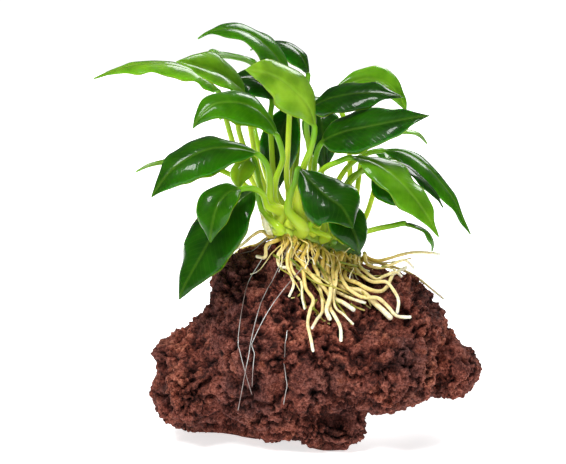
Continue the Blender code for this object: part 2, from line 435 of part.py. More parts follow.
def leaf_rings(leaf):
    """Rings of points from the foot of the stalk to the tip of the blade."""
    foot, outward = stem_seat(leaf.axis, leaf.station, leaf.angle, LEAF_FOOT_GAP)
    stalk = [foot, foot + STEM_RADIUS * outward] + list(leaf.stalk)
    curve = smooth_curve(stalk + list(leaf.blade))
    split = len(stalk) * CURVE_STEPS
    stalk_curve, blade_curve = curve[:split + 1], curve[split:]
    stalk_count = max(3, round(arc_lengths(stalk_curve)[-1] / STALK_SPACING))
    stalk_shares = np.linspace(0, 1, stalk_count, endpoint=False)
    blade_count = max(6, round(arc_lengths(blade_curve)[-1] / BLADE_SPACING))
    blade_shares = np.linspace(0, 1, blade_count + 1)

    dense = np.vstack([along(stalk_curve, np.linspace(0, 1, LEAF_STEPS, endpoint=False)),
                       along(blade_curve, np.linspace(0, 1, LEAF_STEPS + 1))])
    turn = np.concatenate([np.full(LEAF_STEPS, -1.0), np.linspace(-1, 1, LEAF_STEPS + 1)])
    mid_blade = LEAF_STEPS + LEAF_STEPS // 2
    _, normals, sides = turned_frames(dense, mid_blade, leaf.face, leaf.twist, turn)

    across = np.linspace(-1, 1, 2 * BLADE_SIDE_STEPS + 1)
    across = np.concatenate([across, across[-2:0:-1]])
    face = np.where(np.arange(len(across)) <= 2 * BLADE_SIDE_STEPS, 1, -1)
    round_angle = np.arccos(np.clip(across, -1, 1)) * face
    rings = []
    for share in stalk_shares:
        radius = STALK_RADIUS + (SHEATH_RADIUS - STALK_RADIUS) * math.exp(-share / SHEATH_REACH)
        index = round(share * LEAF_STEPS)
        offset = np.outer(np.cos(round_angle), sides[index]) + np.outer(np.sin(round_angle), normals[index])
        rings.append(dense[index] + radius * offset)
    for share in blade_shares:
        index = LEAF_STEPS + round(share * LEAF_STEPS)
        side, height = blade_section(leaf, share, across, face)
        entry = min(1.0, share / BLADE_ENTRY)
        side = entry * side + (1 - entry) * STALK_RADIUS * np.cos(round_angle)
        height = entry * height + (1 - entry) * STALK_RADIUS * np.sin(round_angle)
        rings.append(dense[index] + np.outer(side, sides[index]) + np.outer(height, normals[index]))
    return rings


def lofted_mesh(name, rings):
    """One closed body through rings of equal size, with its two ends closed."""
    mesh = bmesh.new()
    loops = [[mesh.verts.new(mm(point)) for point in ring] for ring in rings]
    for lower, upper in zip(loops, loops[1:]):
        for index in range(len(lower)):
            following = (index + 1) % len(lower)
            mesh.faces.new((lower[index], lower[following], upper[following], upper[index]))
    mesh.faces.new(loops[0])
    mesh.faces.new(loops[-1])
    bmesh.ops.triangulate(mesh, faces=mesh.faces)
    bmesh.ops.recalc_face_normals(mesh, faces=mesh.faces)
    data = bpy.data.meshes.new(name)
    mesh.to_mesh(data)
    mesh.free()
    return data


def material(name, colour, roughness):
    made = bpy.data.materials.new(name)
    made.use_nodes = True
    shader = made.node_tree.nodes["Principled BSDF"]
    shader.inputs["Base Color"].default_value = (*colour, 1.0)
    shader.inputs["Roughness"].default_value = roughness
    shader.inputs["Metallic"].default_value = 0.0
    made.diffuse_color = (*colour, 1.0)
    return made


def add_object(name, data, collection, finish=None):
    made = bpy.data.objects.new(name, data)
    collection.objects.link(made)
    if finish:
        data.materials.append(finish)
    return made


def hide_cutter(cutter):
    cutter.display_type = "WIRE"
    cutter.hide_render = True


def evaluated_tree(obj):
    """A search tree over an object's finished mesh, in metres."""
    bpy.context.view_layer.update()
    graph = bpy.context.evaluated_depsgraph_get()
    return BVHTree.FromObject(obj, graph)


def boolean(obj, cutter, operation):
    modifier = obj.modifiers.new(f"{operation.title()} {cutter.name}", "BOOLEAN")
    modifier.object = cutter
    modifier.operation = operation
    modifier.solver = "EXACT"


def one_skin(name, data, easing, collection):
    """A mesh fused into one closed skin and smoothed by easing, given as (factor, rounds)."""
    blank = add_object(name, data, collection)
    remesh = blank.modifiers.new("Fuse", "REMESH")
    remesh.mode = "VOXEL"
    remesh.voxel_size = STONE_VOXEL * 0.001
    smooth = blank.modifiers.new("Ease", "SMOOTH")
    smooth.factor, smooth.iterations = easing
    bpy.context.view_layer.update()
    fused = bpy.data.meshes.new_from_object(blank.evaluated_get(bpy.context.evaluated_depsgraph_get()))
    bpy.data.objects.remove(blank)
    return fused


def stone_lobes():
    """The lobes as overlapping balls."""
    mesh = bmesh.new()
    for centre, radii in STONE_LOBES.values():
        ball = bmesh.ops.create_icosphere(mesh, subdivisions=4, radius=1.0)
        bmesh.ops.scale(mesh, vec=mm(radii), verts=ball["verts"])
        bmesh.ops.translate(mesh, vec=mm(centre), verts=ball["verts"])
    data = bpy.data.meshes.new("stone_lobes")
    mesh.to_mesh(data)
    mesh.free()
    return data


def bed_for_stem(places, normals):
    """Bring the stone's upper skin to the underside of the stem, so that the stem lies on it."""
    axis = np.vstack([stem_curve(name) for name in STEM_AXES])
    apart = np.linalg.norm(places[:, None, :2] - axis[None, :, :2], axis=2)
    nearest = apart.argmin(axis=1)
    share = np.clip(1 - apart.min(axis=1) / BED_REACH, 0, 1)
    share = share ** 2 * (3 - 2 * share) * (normals[:, 2] > BED_FACING) * (places[:, 2] > BED_FLOOR)
    bed = axis[nearest, 2] - STEM_RADIUS + BED_DEPTH
    places[:, 2] += share * (bed - places[:, 2])


def work_stone_skin(data):
    """Lumps at two scales, then the pits and crevices of the front."""
    places = np.array([vertex.co[:] for vertex in data.vertices]) * 1000
    normals = np.array([vertex.normal[:] for vertex in data.vertices])
    for size, height in STONE_LUMPS:
        lift = [height * noise.noise(Vector(place / size)) for place in places]
        places += normals * np.array(lift)[:, None]
    for x, z, half_width, half_height, depth in STONE_PITS:
        far = ((places[:, 0] - x) / half_width) ** 2 + ((places[:, 2] - z) / half_height) ** 2
        facing = np.clip(-normals[:, 1], 0, 1) * (places[:, 1] < PIT_BACK)
        sink = depth * np.exp(-far ** 1.5) * facing
        places[:, 1] += sink
    bed_for_stem(places, normals)
    for vertex, place in zip(data.vertices, places):
        vertex.co = mm(place)
    data.update()


def lava_stone(collection, cutters, finish):
    data = one_skin("stone_lobes", stone_lobes(), CREASE_EASING, cutters)
    work_stone_skin(data)
    data = one_skin("stone_lumps", data, LUMP_EASING, cutters)
    data.name = "lava_stone"
    stone = add_object("lava_stone", data, collection, finish)
    thin = stone.modifiers.new("Facets", "DECIMATE")
    data.calc_loop_triangles()
    thin.ratio = STONE_FACES / len(data.loop_triangles)

    block = bmesh.new()
    bmesh.ops.create_cube(block, size=2 * REST_CUT * 0.001)
    bmesh.ops.translate(block, vec=mm((0, 0, -REST_CUT)), verts=block.verts)
    block_data = bpy.data.meshes.new("rest_face_cutter")
    block.to_mesh(block_data)
    block.free()
    rest_cutter = add_object("rest_face_cutter", block_data, cutters)
    hide_cutter(rest_cutter)
    boolean(stone, rest_cutter, "DIFFERENCE")
    for axis in STEM_AXES:
        seat = add_object(f"stem_seat_{axis}", stem_mesh(axis, SEAT_GAP), cutters)
        hide_cutter(seat)
        boolean(stone, seat, "DIFFERENCE")
    return stone


def stem_mesh(axis, spare=0.0):
    """A stem axis as a knotted tube with blunt ends; spare widens it into the cutter of its seat."""
    count = STEM_STATIONS[axis]
    centres = along(stem_curve(axis), np.linspace(0, 1, count))
    if spare:
        centres[0] += unit(centres[0] - centres[1]) * SEAT_RUN_OUT
        centres[-1] += unit(centres[-1] - centres[-2]) * SEAT_RUN_OUT
    turn = np.zeros(count)
    _, normals, across = turned_frames(centres, 0, (0, 0, 1), 0, turn)
    rings = []
    for index in range(count):
        knot = 0 if spare else STEM_SCAR * (index % 2)
        end = STEM_END if index in (0, count - 1) and not spare else 1
        radius = (STEM_RADIUS - knot) * end + spare
        angles = np.arange(STEM_SIDES) * 2 * math.pi / STEM_SIDES
        rings.append(centres[index] + radius * (np.outer(np.cos(angles), across[index])
                                                + np.outer(np.sin(angles), normals[index])))
    return lofted_mesh(f"stem_{axis}", rings)


def creeping_stem(collection, cutters, finish):
    stem = add_object("rhizome", stem_mesh("A"), collection, finish)
    branch = add_object("rhizome_branch", stem_mesh("B"), cutters)
    hide_cutter(branch)
    boolean(stem, branch, "UNION")
    return stem


def leaves(collection):
    """Each leaf in one piece, stalk and blade, in a green of its own age."""
    made = []
    for leaf in LEAVES:
        green = np.array(OLD_LEAF_COLOUR) ** (1 - leaf.youth) * np.array(YOUNG_LEAF_COLOUR) ** leaf.youth
        finish = material(leaf.name.replace("_", " "), green, 0.25)
        made.append(add_object(leaf.name, lofted_mesh(leaf.name, leaf_rings(leaf)), collection, finish))
    return made


def nearest_on_runs(point, runs):
    """The nearest point to a point on a polyline, and the share of the way along its nearest run."""
    starts, ends = runs[:-1], runs[1:]
    spans = ends - starts
    shares = np.clip(((point - starts) * spans).sum(axis=1) / (spans ** 2).sum(axis=1), 0, 1)
    places = starts + spans * shares[:, None]
    index = np.linalg.norm(places - point, axis=1).argmin()
    return places[index], index + shares[index]


def way_clear(place, radius, trees, laid):
    """The move that takes a place on a root clear of the stone, the plant and the roots already laid."""
    stone_tree = trees[0]
    move = np.zeros(3)
    for other, other_radii in laid:
        nearest, share = nearest_on_runs(place, other)
        offset = place - nearest
        short = radius + np.interp(share, range(len(other)), other_radii) + GAP - np.linalg.norm(offset)
        if short > 0:
            normal = np.array(stone_tree.find_nearest(Vector(mm(place)))[1])
            move += (unit(offset) * PASS_ASIDE + normal * PASS_OVER) * short
    for tree in trees:
        nearest, normal, _, _ = tree.find_nearest(Vector(mm(place)))
        offset = place - np.array(nearest) * 1000
        apart = np.linalg.norm(offset)
        buried = tree is stone_tree and offset.dot(np.array(normal)) < 0
        short = radius + FOOT_GAP + (apart if buried else -apart)
        if short > 0:
            move += (np.array(normal) if buried else unit(offset)) * short
    size = np.linalg.norm(move)
    return move * min(1.0, SETTLING_STRIDE / size) if size else move


def settled(points, radii, trees, laid, first=1):
    """Lift a root or line until every part of its runs is clear; points before the first stay put."""
    for _ in range(SETTLING_PASSES):
        for index in range(max(first, 1), len(points)):
            for share in RUN_SHARES:
                place = points[index] + (points[index - 1] - points[index]) * share
                move = way_clear(place, radii[index], trees, laid)
                points[index] += move * max(1 - share, 0.5)
                if index > first:
                    points[index - 1] += move * share
    return points


def tube(name, points, radii, roundness, collection, finish):
    """A cord through the points, as a curve with its radius along it and closed ends."""
    data = bpy.data.curves.new(name, "CURVE")
    data.dimensions = "3D"
    data.bevel_mode = "ROUND"
    data.bevel_depth = 0.001
    data.bevel_resolution = roundness
    data.use_fill_caps = True
    spline = data.splines.new("POLY")
    spline.points.add(len(points) - 1)
    for control, point, radius in zip(spline.points, points, radii):
        control.co = (*mm(point), 1.0)
        control.radius = radius
    return add_object(name, data, collection, finish)


def roots(collection, finish, trees):
    laid = []
    for root in ROOTS:
        foot, outward = stem_seat(root.axis, root.station, root.angle, FOOT_GAP)
        curve = smooth_curve([foot, foot + ROOT_RUN_OUT * outward] + list(root.route))
        count = max(4, round(arc_lengths(curve)[-1] / ROOT_STEP) + 1)
        points = along(curve, np.linspace(0, 1, count))
        radii = np.linspace(root.radius, root.tip_radius, count)
        points = settled(points, radii, trees, laid)
        laid.append((points, radii))
        tube(root.name, points, radii, 1, collection, finish)
    return laid


def young_bud(collection, finish):
    """A round bud on a short neck, pushing out of the front of the stem."""
    foot, outward = stem_seat("A", BUD_STATION, BUD_ANGLE, FOOT_GAP)
    bend = unit(outward + np.array([0, 0, BUD_LIFT]))
    ways = np.cumsum([0.0] + [length for length, _ in BUD_PROFILE[1:]])
    points = [foot + way * (outward if way < BUD_BEND else bend) for way in ways]
    radii = [radius for _, radius in BUD_PROFILE]
    return tube("young_bud", points, radii, 2, collection, finish)


def evenly_spaced(points, step):
    """Points about one step apart on a smooth curve through the given ones."""
    curve = smooth_curve(points)
    count = round(arc_lengths(curve)[-1] / step) + 1
    return list(along(curve, np.linspace(0, 1, count)))


def tie_lines(collection, finish, trees, laid):
    """Strands of line that run up the back of the stone, over the stem and down the front."""
    for tie in TIE_LINES:
        over = [stem_seat("A", tie.station, angle, LINE_RADIUS + FOOT_GAP)[0] for angle in tie.angles]
        points = evenly_spaced(over[-1:] + list(tie.front), LINE_STEP)
        if tie.back:
            points = evenly_spaced(list(tie.back) + over[:1], LINE_STEP) + over[1:-1] + points
        radii = np.full(len(points), LINE_RADIUS)
        points = settled(np.array(points), radii, trees, laid, first=0 if tie.back else 1)
        laid.append((points, radii))
        tube(tie.name, points, radii, 0, collection, finish)


def clear_scene():
    for obj in list(bpy.data.objects):
        bpy.data.objects.remove(obj)


def new_collection(name):
    made = bpy.data.collections.new(name)
    bpy.context.scene.collection.children.link(made)
    return made


def main():
    clear_scene()
    model = new_collection(MODEL_NAME)
    cutters = new_collection("cutters")
    stone_finish = material("lava stone", STONE_COLOUR, 0.9)
    stem_finish = material("creeping stem", STEM_COLOUR, 0.45)
    root_finish = material("root", ROOT_COLOUR, 0.5)
    line_finish = material("nylon line", LINE_COLOUR, 0.2)
    stone = lava_stone(model, cutters, stone_finish)
    stem = creeping_stem(model, cutters, stem_finish)
    made_leaves = leaves(model)
    bud = young_bud(model, stem_finish)
    trees = [evaluated_tree(piece) for piece in [stone, stem, bud] + made_leaves]
    laid = roots(model, root_finish, trees)
    tie_lines(model, line_finish, trees, laid)


main()
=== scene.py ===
"""Anubias on stone: the dressed model of a small water plant whose creeping stem grips a lump of lava rock.

Sizes and route points in the tables are in millimetres, and mm() turns them into Blender's metres.
Sizes in metres say so, and the Geometry Nodes trees take metres.
"""

import heapq
import math
from collections import namedtuple
from functools import partial

import bmesh
import bpy
import numpy as np
from bpy.props import FloatProperty, FloatVectorProperty, IntProperty, PointerProperty
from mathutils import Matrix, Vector
from mathutils.bvhtree import BVHTree


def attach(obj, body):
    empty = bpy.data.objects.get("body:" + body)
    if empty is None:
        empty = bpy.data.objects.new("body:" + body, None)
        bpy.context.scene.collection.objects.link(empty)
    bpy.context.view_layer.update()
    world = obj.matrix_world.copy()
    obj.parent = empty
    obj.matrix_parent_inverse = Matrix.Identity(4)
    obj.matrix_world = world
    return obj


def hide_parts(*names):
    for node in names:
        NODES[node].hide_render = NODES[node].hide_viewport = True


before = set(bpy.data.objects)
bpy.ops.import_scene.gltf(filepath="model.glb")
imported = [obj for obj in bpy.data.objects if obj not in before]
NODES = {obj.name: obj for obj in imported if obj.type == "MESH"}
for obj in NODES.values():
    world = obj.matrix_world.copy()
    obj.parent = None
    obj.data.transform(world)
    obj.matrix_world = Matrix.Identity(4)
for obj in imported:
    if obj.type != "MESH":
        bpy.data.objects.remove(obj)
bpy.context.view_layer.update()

bl_info = {
    "name": "Anubias on stone",
    "version": (1, 0, 0),
    "blender": (4, 5, 0),
    "location": "View3D > Sidebar > Anubias",
    "description": "Dresses the solids of an anubias on a lava stone with leaves, roots, rock and line",
    "category": "Add Mesh",
}

BODY = "root"

# Photograph's frame and the camera that matches it
PHOTO_WIDTH = 566
PHOTO_HEIGHT = 464
LENS_MM = 90.0
SENSOR_MM = 36.0
CAMERA_EYE = (-11.42, -503.13, 155.40)
CAMERA_TARGET = (-11.42, 0.0, 75.71)

# Every piece

CURVE_STEPS = 12            # points that a smooth curve puts in each span of its route
MERGE_DISTANCE = 0.00001    # in metres, within which points are one
FLOOR_DROP = 0.0001         # in metres, how far the floor lies under the rest face

# Creeping stem: a main axis along the top of the stone and a branch that runs straight back
STEM_RADIUS = 3.1
STEM_AXES = {
    "A": [(-14.5, -6, 77.5), (-9, -4, 75.5), (-3, -2, 74), (2.5, 1, 71), (9.5, 4, 68.5), (16, 8, 65.5)],
    "B": [(-5.5, -1, 74.5), (-8.5, 8, 73.5), (-10.5, 18, 73), (-12, 30, 71.5)],
}
TANGENT_STEP = 0.02         # share of the stem, either way, over which its direction is measured
STEM_GRID = 0.0004          # in metres
STEM_EASING = 8             # rounds of smoothing after the remesh
STEM_COLOUR_SPAN = (-14, 16)    # x of the lime crown end and of the dark old end
SCAR_SPACING = 7
WAVE_REPEAT = 0.314         # a wave texture of scale 1 repeats over this length

# Stone's worked skin
STONE_EASING = 4
STONE_NOISE_MIDDLE = 0.55
PORE_FLOOR = 0.16           # reach of a pore's floor, as a share of the pores' spacing
PORE_RIM = 0.36
PORE_WARP = 0.0022          # in metres, how far noise bends the pores out of round
CRACK_EDGE = 0.035          # how far from its middle the cracks' noise is where a crack ends
REST_SKIN = 0.0002          # in metres, the height up to which the rest face stays flat
DIP_HEIGHTS = (-0.0006, -0.0024)    # in metres, where the painted shade in a dip between lumps starts and stops

# Leaf form
FOOT_SINK = 1.0             # how deep a stalk's foot is grown into the stem
STALK_RADIUS = 1.0
STALK_RINGS = 30
BLADE_RINGS = 64
BLADE_SIDE_STEPS = 9        # points from midrib to margin on each face
MIDRIB_CROWDING = 1.3       # above 1 the points crowd towards the midrib
BLADE_ENTRY = 0.05          # share of the blade over which the round stalk turns into the flat blade
TIP_HALF_WIDTH = 0.12
BLADE_FULLNESS = 0.85
TIP_TAPER = 0.3
BLADE_THICKNESS = 0.42
RIB_DEPTH = 1.0             # how far the midrib stands out below the blade's base
RIB_REACH = 0.9
GROOVE_DEPTH = 0.2          # furrow along the midrib on the upper face
GROOVE_REACH = 0.55
RIPPLE_LENGTH = 14          # length of a margin's main wave, to which each leaf adds up to 4
VEIN_SPACING = 2.4
OLD_BELOW = 0.25            # youth that parts old leaves from the rest
YOUNG_ABOVE = 0.55

# axis, station, angle: where on the stem the leaf stands, the angle counted round it from straight up,
# towards the back positive
# stalk, blade: points along the stalk and along the midrib, blade base to tip
# face: the way the upper face looks at mid blade; fold: rise in degrees of the far or right half and
# of the near or left half; broadest: share of the blade's length where it is widest; twist: degrees
# youth: 0 for an old dark leaf to 1 for a young bright one
Leaf = namedtuple("Leaf", "name axis station angle stalk blade face half_width fold broadest youth twist",
                  defaults=(0,))
LEAVES = [
    Leaf("leaf_01", "A", 0.135, 0, stalk=[(-15.5, -6, 86.5), (-16, -8, 94.5), (-17, -11, 101)],
         blade=[(-20, -13, 105), (-27.5, -15, 107.5), (-38, -18, 107), (-49, -21, 101), (-56.5, -23, 91.5)],
         face=(-0.15, -0.62, 0.77), half_width=10.2, fold=(-14, -18), broadest=0.5, youth=0.25),
    Leaf("leaf_02", "A", 0.178, 55,
         stalk=[(-14.5, -4, 88), (-14, -4, 95), (-11.5, -5, 102.5), (-12, -6, 106.5)],
         blade=[(-13.5, -7, 111), (-16.5, -8, 116.5), (-21.5, -10, 121), (-27.5, -12, 123),
                (-35, -14, 122.5), (-40, -16, 118.5), (-42.5, -17, 114.5)],
         face=(-0.25, -0.66, 0.7), half_width=8.2, fold=(-12, -22), broadest=0.45, youth=0.38),
    Leaf("leaf_03", "A", 0.26, 5, stalk=[(-6.5, -8, 90), (-4, -11, 101), (-1.5, -13, 108)],
         blade=[(-0.5, -14, 114.5), (-2.5, -16, 121.5), (-6.5, -18, 126.5), (-11.5, -19, 131),
                (-16.5, -21, 133.5), (-20.5, -23, 134.5), (-24, -25, 135)],
         face=(0.3, -0.72, 0.62), half_width=9.0, fold=(-8, -12), broadest=0.48, youth=0.75),
    Leaf("leaf_04", "B", 0.24, 58, stalk=[(-9.5, 10, 89.5), (-9.5, 10, 108), (-9, 10, 121)],
         blade=[(-9.5, 8, 130.5), (-13, 5, 137), (-18.5, 2, 143), (-25, -1, 147), (-31.5, -4, 148),
                (-37, -6, 147), (-41, -8, 145)],
         face=(-0.1, -0.5, 0.85), half_width=9.4, fold=(-8, -6), broadest=0.36, twist=45, youth=0.36),
    Leaf("leaf_05", "B", 0.6, 20, stalk=[(-8, 24, 88), (-7.5, 30, 106), (-4.5, 31, 121)],
         blade=[(-2, 30, 130.5), (-5, 30, 138), (-10.5, 33, 142), (-17, 38, 142.5), (-24, 44, 139.5)],
         face=(0.2, -0.2, 0.95), half_width=8.0, fold=(-15, -15), broadest=0.42, youth=0.2),
    Leaf("leaf_06", "B", 0.8, -14, stalk=[(-18, 26, 87.5), (-23, 30, 106), (-24, 32, 121)],
         blade=[(-19.5, 32, 131.5), (-24, 32, 135.5), (-30, 33, 137), (-35, 35, 137.5),
                (-38.5, 36, 139.5), (-40.5, 36, 138)],
         face=(-0.1, 0.12, 1.0), half_width=6.0, fold=(10, 10), broadest=0.45, youth=0.5),
    Leaf("leaf_07", "B", 0.62, -48, stalk=[(-21, 24, 88), (-29, 22, 103), (-32.5, 20, 115)],
         blade=[(-35, 17, 125), (-40, 15, 130), (-46, 12, 133.5), (-54, 8, 135.5), (-66, 3, 135),
                (-78, -3, 131)],
         face=(-0.4, -0.3, 0.85), half_width=9.0, fold=(-8, -24), broadest=0.3, youth=0.62),
    Leaf("leaf_08", "B", 0.44, -30, stalk=[(-19, 19, 88.5), (-25.5, 15, 104), (-28, 11, 116)],
         blade=[(-25.5, 9, 124.5), (-29.5, 6, 129), (-34.5, 2.5, 132.5), (-41.5, -2, 135),
                (-48.5, -7, 137)],
         face=(0.1, -0.6, 0.8), half_width=8.8, fold=(14, 2), broadest=0.4, youth=0.6),
    Leaf("leaf_09", "A", 0.49, 0, stalk=[(-1, 3, 87), (-1.5, 5, 101), (-3, 5, 114)],
         blade=[(-2, 3, 119.5), (5, -2, 123.5), (13, -6, 125.5), (21.5, -9, 126), (30, -12, 125)],
         face=(0.05, -0.7, 0.71), half_width=8.4, fold=(-4, -12), broadest=0.42, youth=0.12),
    Leaf("leaf_10", "A", 0.75, 62, stalk=[(12, 16, 81.5), (13.5, 22, 99.5), (11.5, 26, 114)],
         blade=[(8, 27, 124.5), (13.5, 28, 127.5), (20.5, 29, 129), (27, 30, 127.5), (32, 30, 122.5),
                (35, 29, 117)],
         face=(-0.1, -0.75, 0.62), half_width=6.2, fold=(4, 4), broadest=0.55, youth=0.56),
    Leaf("leaf_11", "A", 0.37, 32, stalk=[(-2, -4, 88), (-0.5, -6, 97), (0, -7, 103)],
         blade=[(2, -9, 108.5), (9, -12, 112.5), (18.5, -16, 115), (29, -20, 117.5), (38, -24, 119.5)],
         face=(0.1, -0.74, 0.66), half_width=9.8, fold=(-6, -8), broadest=0.36, youth=0.22),
    Leaf("leaf_12", "A", 0.88, 32, stalk=[(15.5, 16, 85), (18, 23, 99.5), (20.5, 27, 105.5)],
         blade=[(23, 29, 109), (29, 31, 110), (35, 32, 109.5), (40, 33, 108), (43.5, 33, 104.5)],
         face=(0.1, 0.2, 0.97), half_width=6.0, fold=(-10, -10), broadest=0.42, youth=0.6),
    # leaf_13's youth is set above its age: its lighter green is partly a painted greyish sheen
    Leaf("leaf_13", "A", 0.37, -30,
         stalk=[(-4.5, -9, 88.5), (-1.5, -10, 94), (3, -11, 100), (8, -12, 102.5)],
         blade=[(12, -13, 104), (19, -16, 103), (26, -19, 99), (32.5, -22, 92.5), (38, -24, 85),
                (42, -25, 78)],
         face=(0.45, -0.62, 0.64), half_width=8.0, fold=(-12, -6), broadest=0.47, youth=0.52),
    Leaf("leaf_14", "A", 0.62, 32, stalk=[(6, 13, 85.5), (11.5, 15, 96.5), (18.5, 16, 102)],
         blade=[(25, 16, 103.5), (33, 14, 103), (40.5, 12, 98.5), (46.5, 10, 92), (51.5, 8, 85),
                (54.5, 7, 78.5), (57, 6, 74)],
         face=(0.45, -0.4, 0.8), half_width=7.8, fold=(-10, -16), broadest=0.38, youth=0.3),
    Leaf("leaf_15", "A", 0.62, -28, stalk=[(7.5, 2, 85), (13.5, 2, 94.5), (20.5, 1, 100.5)],
         blade=[(26, 0, 101.5), (31.5, -2, 100), (37, -4, 96), (42, -5, 91), (45.5, -6, 85.5)],
         face=(0.45, -0.15, 0.88), half_width=5.6, fold=(-10, -10), broadest=0.42, youth=0.1),
    Leaf("leaf_16", "A", 0.25, -58, stalk=[(-9.5, -10, 85), (-8.5, -12, 92), (-7, -14, 96)],
         blade=[(-6, -16, 100.5), (-2, -19, 96.5), (3.5, -22, 91.5), (8.5, -24, 88), (12.5, -25, 81)],
         face=(0.38, -0.78, 0.5), half_width=10.4, fold=(-26, 0), broadest=0.58, youth=0.12),
    Leaf("leaf_17", "A", 0.49, -62, stalk=[(-2, -8, 78.5), (1, -11, 82.5)],
         blade=[(4.5, -14, 86), (7.5, -16, 85.5), (11.5, -18, 81.5), (14, -19, 76), (15, -19, 71)],
         face=(0.3, -0.85, 0.42), half_width=7.6, fold=(-6, -6), broadest=0.45, youth=0.2),
    Leaf("leaf_18", "A", 0.74, 0, stalk=[(9, 12, 82), (13, 14, 93), (17.5, 14, 96)],
         blade=[(21, 13, 96.5), (25.5, 11, 94.5), (29.5, 9, 90.5), (32, 7, 87), (34.5, 5, 84)],
         face=(0.2, -0.85, 0.45), half_width=8.6, fold=(-4, -4), broadest=0.45, youth=0.15),
    Leaf("leaf_19", "A", 0.87, -30, stalk=[(15, 2, 74), (21.5, 1, 76.5), (28, 0, 78)],
         blade=[(32.5, -1, 79), (36.5, -2, 78), (40, -3, 76), (42, -4, 72.5), (42, -5, 69.5)],
         face=(0.3, 0.05, 0.95), half_width=5.2, fold=(-6, -6), broadest=0.45, youth=0.4),
    Leaf("leaf_20", "A", 0.0, -6, stalk=[(-17, -12, 87), (-18.5, -16, 91.5), (-22, -19, 94)],
         blade=[(-26, -22, 94), (-30, -25, 93), (-33, -28, 90), (-35, -30, 84), (-36, -31, 77)],
         face=(-0.35, -0.7, 0.62), half_width=7.6, fold=(14, 10), broadest=0.45, youth=0.27),
    Leaf("leaf_21", "A", 0.0, -82, stalk=[(-18.5, -8, 84), (-20, -11, 89)],
         blade=[(-21, -13, 92.5), (-26.5, -16, 89), (-33.5, -19, 81), (-40, -21, 70), (-45, -22, 61),
                (-47.5, -22, 55.5)],
         face=(-0.4, -0.7, 0.58), half_width=11.4, fold=(-4, -6), broadest=0.45, youth=0.2),
    Leaf("leaf_22", "B", 0.32, -62, stalk=[(-17.5, 10, 84), (-20, 10, 91.5), (-21, 9, 97)],
         blade=[(-22.5, 8, 101.5), (-25, 5, 101), (-26.5, 3, 98.5), (-27.5, 2, 95), (-27.5, 1, 91)],
         face=(-0.5, -0.8, 0.2), half_width=5.6, fold=(-16, -16), broadest=0.45, youth=0.9),
    Leaf("leaf_23", "B", 0.8, -78, stalk=[(-19.5, 30, 81.5), (-28, 32, 90.5), (-37.5, 32, 95.5)],
         blade=[(-43.5, 31, 97.5), (-50.5, 29, 98.5), (-56, 27, 98), (-61.5, 25, 97), (-66.5, 23, 95)],
         face=(-0.1, 0.15, 0.98), half_width=6.0, fold=(8, 8), broadest=0.42, youth=0.7),
    Leaf("leaf_24", "B", 0.2, -10, stalk=[(-14, 9, 90), (-15.5, 12, 104), (-16, 14, 117)],
         blade=[(-15.5, 15.5, 122), (-18, 16, 127), (-22.5, 17.5, 129.5), (-27.5, 18.5, 129.5),
                (-33, 18, 127)],
         face=(-0.1, -0.6, 0.79), half_width=8.0, fold=(-6, -6), broadest=0.45, youth=0.08),
    Leaf("leaf_25", "B", 0.42, 30, stalk=[(-7.5, 18, 88.5), (-6, 21, 103), (-6, 22, 113.5)],
         blade=[(-7, 21, 118.5), (-9.5, 19, 116), (-12, 17.5, 109), (-13.5, 16.5, 100), (-13.5, 15, 88.5)],
         face=(-0.1, -0.95, 0.2), half_width=7.6, fold=(-6, -6), broadest=0.45, youth=0.06),
    Leaf("leaf_26", "A", 0.51, 60, stalk=[(2, 12, 84), (3, 21, 97.5), (2.5, 28, 111)],
         blade=[(2, 28, 116.5), (2, 24, 118), (2.5, 20, 115), (3.5, 18.5, 106), (3.5, 18.5, 95.5)],
         face=(0.1, -0.95, 0.2), half_width=7.4, fold=(-6, -6), broadest=0.45, youth=0.06),
    Leaf("leaf_27", "B", 0.92, 40, stalk=[(-9.5, 36, 84.5), (-8, 38, 101.5), (-7, 40, 111)],
         blade=[(-6.5, 44, 116.5), (-4, 52, 120), (-0.5, 60, 120), (2.5, 68, 117), (4.5, 74, 112.5)],
         face=(0.1, 0.2, 0.97), half_width=9.0, fold=(-10, -10), broadest=0.44, youth=0.4),
    Leaf("leaf_28", "B", 0.95, -40, stalk=[(-15.5, 36, 82.5), (-19.5, 40, 97.5), (-22, 43, 107)],
         blade=[(-23.5, 48, 112.5), (-26, 56, 115.5), (-29.5, 64, 116.5), (-33.5, 72, 114.5),
                (-37.5, 78, 110)],
         face=(-0.1, 0.2, 0.97), half_width=9.2, fold=(-10, -10), broadest=0.44, youth=0.5),
    Leaf("leaf_29", "A", 0.97, 70, stalk=[(20, 24, 78.5), (24, 32, 89), (26.5, 36, 95)],
         blade=[(28.5, 42, 97.5), (31.5, 50, 99), (35, 58, 99), (39.5, 64, 95.5), (43.5, 68, 91)],
         face=(0.2, 0.2, 0.95), half_width=8.6, fold=(-10, -10), broadest=0.44, youth=0.35),
]

# Dry scale that an old leaf left at the stem's front end
SCALE_PATH = [(-15.8, -8.6, 75.5), (-17.2, -10.2, 78.5), (-18.4, -10.8, 81.5), (-19.6, -10.6, 84.5)]
SCALE_ACROSS = np.array((0.85, -0.5, 0.15))
SCALE_NORMAL = np.array((-0.5, -0.85, 0.1))
SCALE_HALF_WIDTH = 1.3
SCALE_THICKNESS = 0.15
SCALE_CUP = 0.35            # how far its edges curl back, as a share of its half width
SCALE_RINGS = 14
SCALE_SIDES = 7

